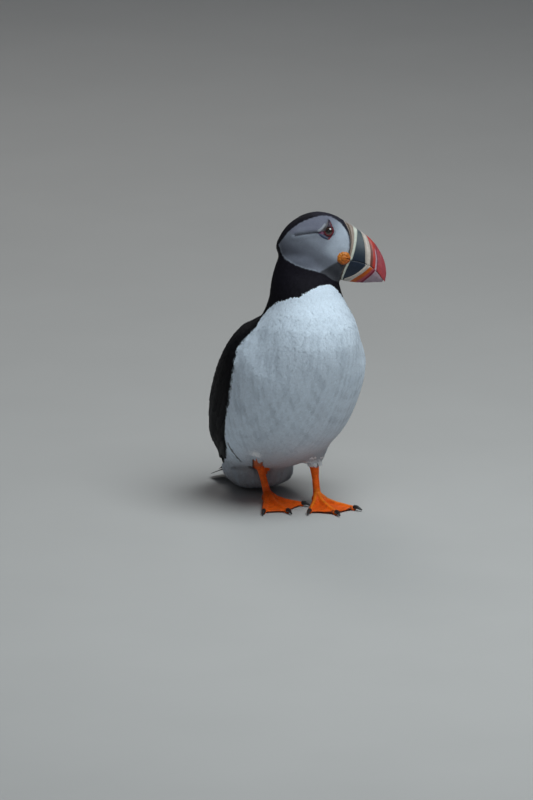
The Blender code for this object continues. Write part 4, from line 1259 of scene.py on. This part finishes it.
def mandible(name, lines, edge, mouth_side, bands, relief, shares):
    """Half of the bill as a closed shell, with ridges, grooves and colours that follow its lines."""
    places = band_places(lines, 0.5)
    rows = np.array([resampled(line, shares) for line in lines])
    index = np.minimum(places.astype(int), len(lines) - 2)
    between = (places - index)[:, None, None]
    flat = mix(rows[index], rows[index + 1], between)
    ahead, up = flat[..., 0], flat[..., 1]
    rim, gape = curve_at(edge, ahead), curve_at(GAPE, ahead) + mouth_side * MOUTH_GAP
    to_mouth = shares if mouth_side > 0 else 1 - shares
    up = up + (rim - up) * ((1 - to_mouth) ** 6)[None] + (gape - up) * (to_mouth**6)[None]
    reach = np.clip((up - gape) / (rim - gape), 0, 1)
    width = curve_at(HALF_WIDTH, ahead) * np.maximum(1 - reach**1.8, 0) ** 0.75
    width -= 0.3 * ease((to_mouth - 0.94) / 0.06)[None]
    raised = np.interp(places, *np.array(relief).T)[:, None] * ease((1 - to_mouth) / 0.05)[None]
    width = np.maximum(width + raised * ease(width / 1.5), 0)
    up = up + raised * 0.35 * ease((0.12 - (1 - reach)) / 0.12) * (1 if mouth_side > 0 else -1)
    colours = np.array(bands)[index][:, None] * np.ones((1, len(shares), 1))
    if mouth_side > 0:
        for bands_here, paint, share in (
            (index == 3, SLATE_BLUE, ease(shares)),
            (index <= 4, CULMEN_GREY, 0.75 * ease((0.16 - shares) / 0.12)),
            (index == 5, SCARLET, ease((0.45 - shares) / 0.3)),
            (index == 7, SCARLET, ease((0.42 - shares) / 0.2)),
            ((places > 8.0) & (places < 8.35), CRIMSON, np.full(len(shares), 0.75)),
            (index >= 8, SCARLET, 0.35 * ease((shares - 0.5) / 0.5)),
        ):
            tinted = mix(colours, np.array(paint), share[None, :, None])
            colours = np.where(bands_here[:, None, None], tinted, colours)
    rings = []
    for w, a, u in zip(width, ahead, up):
        left, right = np.stack([a, w, u], axis=1), np.stack([a, -w, u], axis=1)
        ring = [left[::-1], right[1:]] if mouth_side > 0 else [left, right[-2::-1]]
        rings.append(np.vstack([*ring, ring[0][:1]]))
    tints = []
    for c in colours:
        ring = [c[::-1], c[1:]] if mouth_side > 0 else [c, c[-2::-1]]
        tints.append(np.vstack([*ring, ring[0][:1]]))
    rings, tints = np.array(rings), np.array(tints)
    shape = bmesh.new()
    across, around = rings.shape[:2]
    bmesh.ops.create_grid(shape, x_segments=across - 1, y_segments=around - 1, size=1.0)
    shape.verts.ensure_lookup_table()
    tint = shape.verts.layers.float_color.new("Markings")
    for vert in shape.verts:
        i = round((vert.co.x + 1) / 2 * (across - 1))
        j = round((vert.co.y + 1) / 2 * (around - 1))
        vert[tint] = (*tints[i, j], 1.0)
        vert.co = from_head(rings[i, j])
    bmesh.ops.remove_doubles(shape, verts=shape.verts, dist=0.02 * MM)
    bmesh.ops.holes_fill(shape, edges=[edge for edge in shape.edges if edge.is_boundary], sides=0)
    bmesh.ops.recalc_face_normals(shape, faces=shape.faces)
    item = object_of(shape, name)
    item.data.shade_smooth()
    item.data.set_sharp_from_angle(angle=math.radians(60))
    return item


def bill(material):
    fine_top = np.linspace(0, 1, 40) ** 1.7
    upper = mandible("upper_mandible", UPPER_LINES, CULMEN, 1, UPPER_BANDS, UPPER_RELIEF, fine_top)
    finished(upper, material, "bill", "bill_upper")
    fine_keel = 1 - (np.linspace(1, 0, 30)) ** 1.7
    lower = mandible("lower_mandible", LOWER_LINES, GONYS, -1, LOWER_BANDS, LOWER_RELIEF, fine_keel)
    finished(lower, material, "bill", "bill_lower")


ROSETTE_RADII = (5.7, 5.2, 2.9)
ROSETTE_LEAN = 14.0
# The third colour is painted shade for the rosette's groove, fold and pleat hollows.
ROSETTE_YELLOW, ROSETTE_ORANGE, ROSETTE_HOLLOW_SHADE = (0.60, 0.18, 0.004), (0.42, 0.080, 0.003), (0.13, 0.020, 0.002)


def on_head_axes(sign, lean):
    """Turns a ball's pole to look out of the head's side."""
    ahead, left, up = (Vector(HEAD_TURN[:, axis]) for axis in range(3))
    out = left * sign
    turn = Matrix((ahead, up, out)).transposed()
    return turn @ Matrix.Rotation(math.radians(lean), 3, "Y")


def head_ball(name, node, sign, lean, segments, radius, shaped):
    """A ball at a node's middle. `shaped` gives each point its new place and its colour."""
    shape = bmesh.new()
    bmesh.ops.create_uvsphere(shape, u_segments=segments[0], v_segments=segments[1], radius=radius)
    tint = shape.verts.layers.float_color.new("Markings")
    for vert in shape.verts:
        vert.co, colour = shaped(vert.co)
        vert[tint] = (*colour, 1.0)
    shape.transform(Matrix.Translation(box_middle(node)) @ on_head_axes(sign, lean).to_4x4())
    bmesh.ops.recalc_face_normals(shape, faces=shape.faces)
    item = object_of(shape, name)
    item.data.shade_smooth()
    return item


def rosette_point(co):
    """A fleshy pleated disc, with a ring round its middle and a fold from the gape."""
    x, y, z = co
    reach, angle = math.hypot(x, y), math.atan2(y, x)
    pleat = math.cos(9 * angle + 1.5 * math.sin(2 * angle + 0.6)) * (0.7 + 0.3 * math.sin(3 * angle + 1))
    groove = math.exp(-((math.hypot(x - 0.10, y + 0.04) - 0.46) / 0.10) ** 2)
    fold = math.exp(-((y - 0.02 - 0.25 * x) / 0.07) ** 2) * float(z > 0) * float(ease((x - 0.05) / 0.5))
    grow = 1 + 0.04 * pleat * reach - 0.10 * max(x, 0.0) * reach
    height = z * (1 - 0.16 * groove - 0.40 * fold + 0.08 * pleat * (0.2 + reach))
    hollow = min(max(0.28 * groove + 0.85 * fold - 0.40 * pleat * reach, 0.0), 1.0)
    base = mix(np.array(ROSETTE_YELLOW), np.array(ROSETTE_ORANGE), min(max(0.35 + 0.6 * x - 0.3 * y, 0), 1))
    spread, tall, deep = ROSETTE_RADII
    place = (x * grow * spread * MM, y * grow * tall * MM, height * deep * MM)
    # Painted shade darkens the hollows of the groove, the fold and the pleats.
    return place, mix(base, np.array(ROSETTE_HOLLOW_SHADE), 0.85 * hollow)


def eye_point(co):
    """A dark eyeball, with the cornea a little proud."""
    reach = math.hypot(co.x, co.y) / MM if co.z > 0 else EYE_RADIUS
    angle = math.atan2(co.y, co.x)
    fleck = 1 + 0.25 * math.sin(23 * angle) * math.sin(41 * angle + 1)
    iris = mix(np.array(IRIS_BROWN) * fleck, np.array(IRIS_RIM), float(ease((reach - 2.2) / 0.8)))
    place = (co.x, co.y, co.z + CORNEA_RISE * MM * float(ease((IRIS - reach) / 1.6)))
    return place, mix(np.array(PUPIL_BLACK), iris, float(ease((reach - PUPIL) / 0.25)))


CLAW_BLACK = (0.014, 0.012, 0.012)
PUPIL, IRIS, CORNEA_RISE = 1.55, 3.0, 0.22
PUPIL_BLACK, IRIS_BROWN, IRIS_RIM = (0.002, 0.002, 0.002), (0.050, 0.020, 0.012), (0.012, 0.006, 0.005)


def rosettes(material):
    for side, sign in SIDES:
        node = f"rosette_{side}"
        item = head_ball(f"gape_{node}", node, sign, ROSETTE_LEAN, (84, 48), 1.0, rosette_point)
        finished(item, material, "rosette", node)


def eyes(material):
    for side, sign in SIDES:
        node = f"eye_{side}"
        item = head_ball(f"eyeball_{side}", node, sign, 0, (64, 64), EYE_RADIUS * MM, eye_point)
        finished(item, material, "eye", node)


def claws(material):
    for side, toe in CLAW_ROOTS:
        node = f"claw_{side}_{toe}"
        item = voxel_skin(f"talon_{side}_{toe}", merged_copies((node,), 0.08), 0.2, 4)
        item.data.shade_smooth()
        finished(item, material, "claw", node)


# ---- Finishes ----


class Finish:
    """A node material that starts from the piece's own colours."""

    def __init__(self, name, roughness, **sockets):
        self.material = bpy.data.materials.new(name)
        self.material.use_nodes = True
        self.nodes, self.links = self.material.node_tree.nodes, self.material.node_tree.links
        self.shader = self.nodes["Principled BSDF"]
        self.shader.inputs["Roughness"].default_value = roughness
        for socket, value in sockets.items():
            self.shader.inputs[socket.replace("_", " ")].default_value = value
        self.place = self.node("ShaderNodeTexCoord").outputs["Object"]
        tint = self.node("ShaderNodeAttribute")
        tint.attribute_name = "Markings"
        self.colour = tint.outputs["Color"]

    def node(self, kind, **settings):
        made = self.nodes.new(kind)
        for setting, value in settings.items():
            setattr(made, setting, value)
        return made

    def noise(self, scale, detail=3.0, place=None):
        made = self.node("ShaderNodeTexNoise")
        self.links.new(place or self.place, made.inputs["Vector"])
        made.inputs["Scale"].default_value = scale
        made.inputs["Detail"].default_value = detail
        return made.outputs["Fac"]

    def mottled(self, fac, low, high):
        """Multiplies the colour by low where the pattern is 0.3 and by high where it is 0.7."""
        span = self.node("ShaderNodeMapRange")
        self.links.new(fac, span.inputs["Value"])
        for socket, value in (("From Min", 0.3), ("From Max", 0.7), ("To Min", low), ("To Max", high)):
            span.inputs[socket].default_value = value
        blend = self.node("ShaderNodeVectorMath", operation="SCALE")
        self.links.new(self.colour, blend.inputs[0])
        self.links.new(span.outputs["Result"], blend.inputs["Scale"])
        self.colour = blend.outputs["Vector"]

    def bumped(self, fac, strength, distance):
        bump = self.node("ShaderNodeBump")
        self.links.new(fac, bump.inputs["Height"])
        bump.inputs["Strength"].default_value = strength
        bump.inputs["Distance"].default_value = distance * MM
        if self.shader.inputs["Normal"].is_linked:
            self.links.new(self.shader.inputs["Normal"].links[0].from_socket, bump.inputs["Normal"])
        self.links.new(bump.outputs["Normal"], self.shader.inputs["Normal"])

    def plain(self, colour):
        """One colour in place of the piece's own."""
        base = self.node("ShaderNodeRGB")
        base.outputs["Color"].default_value = (*colour, 1)
        self.colour = base.outputs["Color"]

    def maths(self, operation, *values):
        """A Math node's result. Each value is a number or another node's output."""
        made = self.node("ShaderNodeMath", operation=operation)
        for socket, value in zip(made.inputs, values):
            if isinstance(value, float):
                socket.default_value = value
            else:
                self.links.new(value, socket)
        return made.outputs["Value"]

    def done(self):
        self.links.new(self.colour, self.shader.inputs["Base Color"])
        return self.material


def barbs(finish, lines):
    """Fine slanting barbs to both sides of a feather's shaft, from its own map."""
    vane = finish.node("ShaderNodeUVMap", uv_map="Vane")
    parts = finish.node("ShaderNodeSeparateXYZ")
    finish.links.new(vane.outputs["UV"], parts.inputs["Vector"])
    off_shaft = finish.maths("ABSOLUTE", finish.maths("SUBTRACT", parts.outputs["X"], 0.5))
    slant = finish.maths("MULTIPLY_ADD", off_shaft, -0.35, parts.outputs["Y"])
    return finish.maths("SINE", finish.maths("MULTIPLY", slant, lines * 2 * math.pi))


def plumage(name, roughness, low, high, sheen, gloss, lines=0):
    finish = Finish(name, roughness, Sheen_Weight=sheen, Sheen_Roughness=0.5)
    finish.shader.inputs["Specular IOR Level"].default_value = gloss
    finish.mottled(finish.noise(420.0, 4.0), low, high)
    finish.bumped(finish.noise(2600.0, 2.0), 0.12, 0.08)
    if lines:
        finish.bumped(barbs(finish, lines), 0.25, 0.04)
    return finish.done()


def skin_finish():
    finish = Finish("skin", 0.48, Specular_IOR_Level=0.3)
    cells = finish.node("ShaderNodeTexVoronoi")
    finish.links.new(finish.place, cells.inputs["Vector"])
    cells.inputs["Scale"].default_value = 1150.0
    finish.mottled(finish.noise(260.0, 5.0), 0.82, 1.12)
    finish.mottled(cells.outputs["Distance"], 1.03, 0.90)
    finish.bumped(cells.outputs["Distance"], 0.45, 0.16)
    finish.bumped(finish.noise(5200.0, 3.0), 0.15, 0.05)
    return finish.done()


def bill_finish():
    finish = Finish("horn", 0.42, Coat_Weight=0.06, Coat_Roughness=0.3, Specular_IOR_Level=0.25)
    stretch = finish.node("ShaderNodeMapping")
    stretch.inputs["Scale"].default_value = (1.0, 1.0, 0.35)
    finish.links.new(finish.place, stretch.inputs["Vector"])
    finish.mottled(finish.noise(330.0, 6.0), 0.84, 1.12)
    finish.mottled(finish.noise(1500.0, 4.0), 0.93, 1.05)
    finish.bumped(finish.noise(900.0, 5.0, stretch.outputs["Vector"]), 0.22, 0.12)
    return finish.done()


def noisy_finish(name, roughness, mottle, bump=None, colour=None, **sockets):
    """A finish with one noise that mottles it and perhaps one that roughens it."""
    finish = Finish(name, roughness, **sockets)
    if colour:
        finish.plain(colour)
    finish.mottled(finish.noise(*mottle[:2]), *mottle[2:])
    if bump:
        finish.bumped(finish.noise(*bump[:2]), *bump[2:])
    return finish.done()


# ---- Studio ----

VIEW_AZIMUTH, VIEW_ELEVATION = -28.0, 15.0
LENS, SENSOR = 600.0, 36.0
FRAME_HEIGHT = 608.0  # millimetres of the bird's plane that the view is high
AIM = (-10.7, 76.0)  # millimetres right of and above the floor's origin at the view's middle
NEAR_PLANE = 60.0
LIT_POINT = Vector((0, 0, 0.12))
FLOOR_GREY, ROOM_BLUE, ROOM_STRENGTH = (0.48, 0.47, 0.46), (0.80, 0.87, 1.0), 0.075


def faced(item, place, way):
    """Puts a lamp or the camera at a place, with its back to that way."""
    item.location = place
    item.rotation_mode = "QUATERNION"
    item.rotation_quaternion = way.to_track_quat("Z", "Y")


def camera():
    a, e = math.radians(VIEW_AZIMUTH), math.radians(VIEW_ELEVATION)
    back = Vector((math.sin(a) * math.cos(e), -math.cos(a) * math.cos(e), math.sin(e)))
    right = Vector((math.cos(a), math.sin(a), 0.0))
    up = back.cross(right)
    distance = FRAME_HEIGHT * MM * LENS / SENSOR
    lens = bpy.data.cameras.new("camera")
    lens.lens, lens.sensor_width, lens.sensor_fit = LENS, SENSOR, "AUTO"
    lens.clip_end = 100.0
    item = in_scene("camera", lens)
    faced(item, right * AIM[0] * MM + up * AIM[1] * MM + back * (NEAR_PLANE * MM + distance), back)
    bpy.context.scene.camera = item


def softbox(name, place, size, power, colour):
    light = bpy.data.lights.new(name, "AREA")
    light.shape, light.size, light.energy, light.color = "DISK", size, power, colour
    faced(in_scene(name, light), place, Vector(place) - LIT_POINT)


def studio():
    shape = bmesh.new()
    bmesh.ops.create_grid(shape, x_segments=1, y_segments=1, size=25.0)
    floor = object_of(shape, "floor")
    floor.data.materials.append(noisy_finish("floor_paper", 0.85, (9.0, 3.0, 0.985, 1.015), None, FLOOR_GREY))
    softbox("key", (0.16, -0.66, 1.50), 1.10, 22.0, (0.90, 0.98, 1.0))
    softbox("fill", (-1.3, -1.3, 0.9), 1.2, 1.0, (0.90, 0.96, 1.0))
    softbox("rim", (0.3, 1.3, 1.2), 0.8, 4.0, (1.0, 0.98, 0.95))
    world = bpy.data.worlds.new("room")
    world.use_nodes = True
    sky = world.node_tree.nodes["Background"].inputs
    sky["Color"].default_value = (*ROOM_BLUE, 1)
    sky["Strength"].default_value = ROOM_STRENGTH
    bpy.context.scene.world = world
    bpy.context.scene.view_settings.view_transform = "Standard"


# ---- The bird ----


def unwrapped(item):
    """Unwraps the skin over its own shape, for the places of roots on the baking map."""
    item.data.uv_layers.new(name="OFBake")
    bpy.context.view_layer.objects.active = item
    item.select_set(True)
    bpy.ops.object.mode_set(mode="EDIT")
    bpy.ops.mesh.select_all(action="SELECT")
    bpy.ops.uv.smart_project(angle_limit=math.radians(66), island_margin=0.003)
    bpy.ops.object.mode_set(mode="OBJECT")
    item.select_set(False)


def build():
    body = body_skin()
    legs = two_leg_skins()
    skin = joined_skin(body, legs)
    unwrapped(skin)
    painted_skin(skin)
    for leg in legs:
        bpy.data.objects.remove(leg, do_unlink=True)
    skin.data.shade_smooth()
    finished(skin, skin_finish(), "leg_skin", *FLESH, *LEGS)
    surface = Skin(skin)
    materials = {
        "white_plumage": plumage("white_plumage", 0.85, 0.98, 1.02, 0.10, 0.15),
        "black_plumage": plumage("black_plumage", 0.7, 0.80, 1.25, 0.0, 0.08),
        "face_plumage": plumage("face_plumage", 0.85, 0.97, 1.03, 0.10, 0.15),
    }
    small_feathers(surface, materials)
    flight = plumage("flight_feathers", 0.6, 0.80, 1.25, 0.0, 0.10, lines=64)
    for side, sign in SIDES:
        wing_feathers(surface, side, sign, flight)
    tail_feathers(surface, flight)
    bill(bill_finish())
    rosettes(noisy_finish("rosette_flesh", 0.5, (700.0, 4.0, 0.88, 1.08), (1900.0, 4.0, 0.4, 0.12)))
    eyes(noisy_finish("eye", 0.06, (900.0, 3.0, 0.85, 1.15), Coat_Weight=1.0, Coat_Roughness=0.02))
    claws(noisy_finish("claw_horn", 0.32, (600.0, 5.0, 0.6, 1.9), (1400.0, 4.0, 0.3, 0.08), CLAW_BLACK))


camera()
studio()
build()
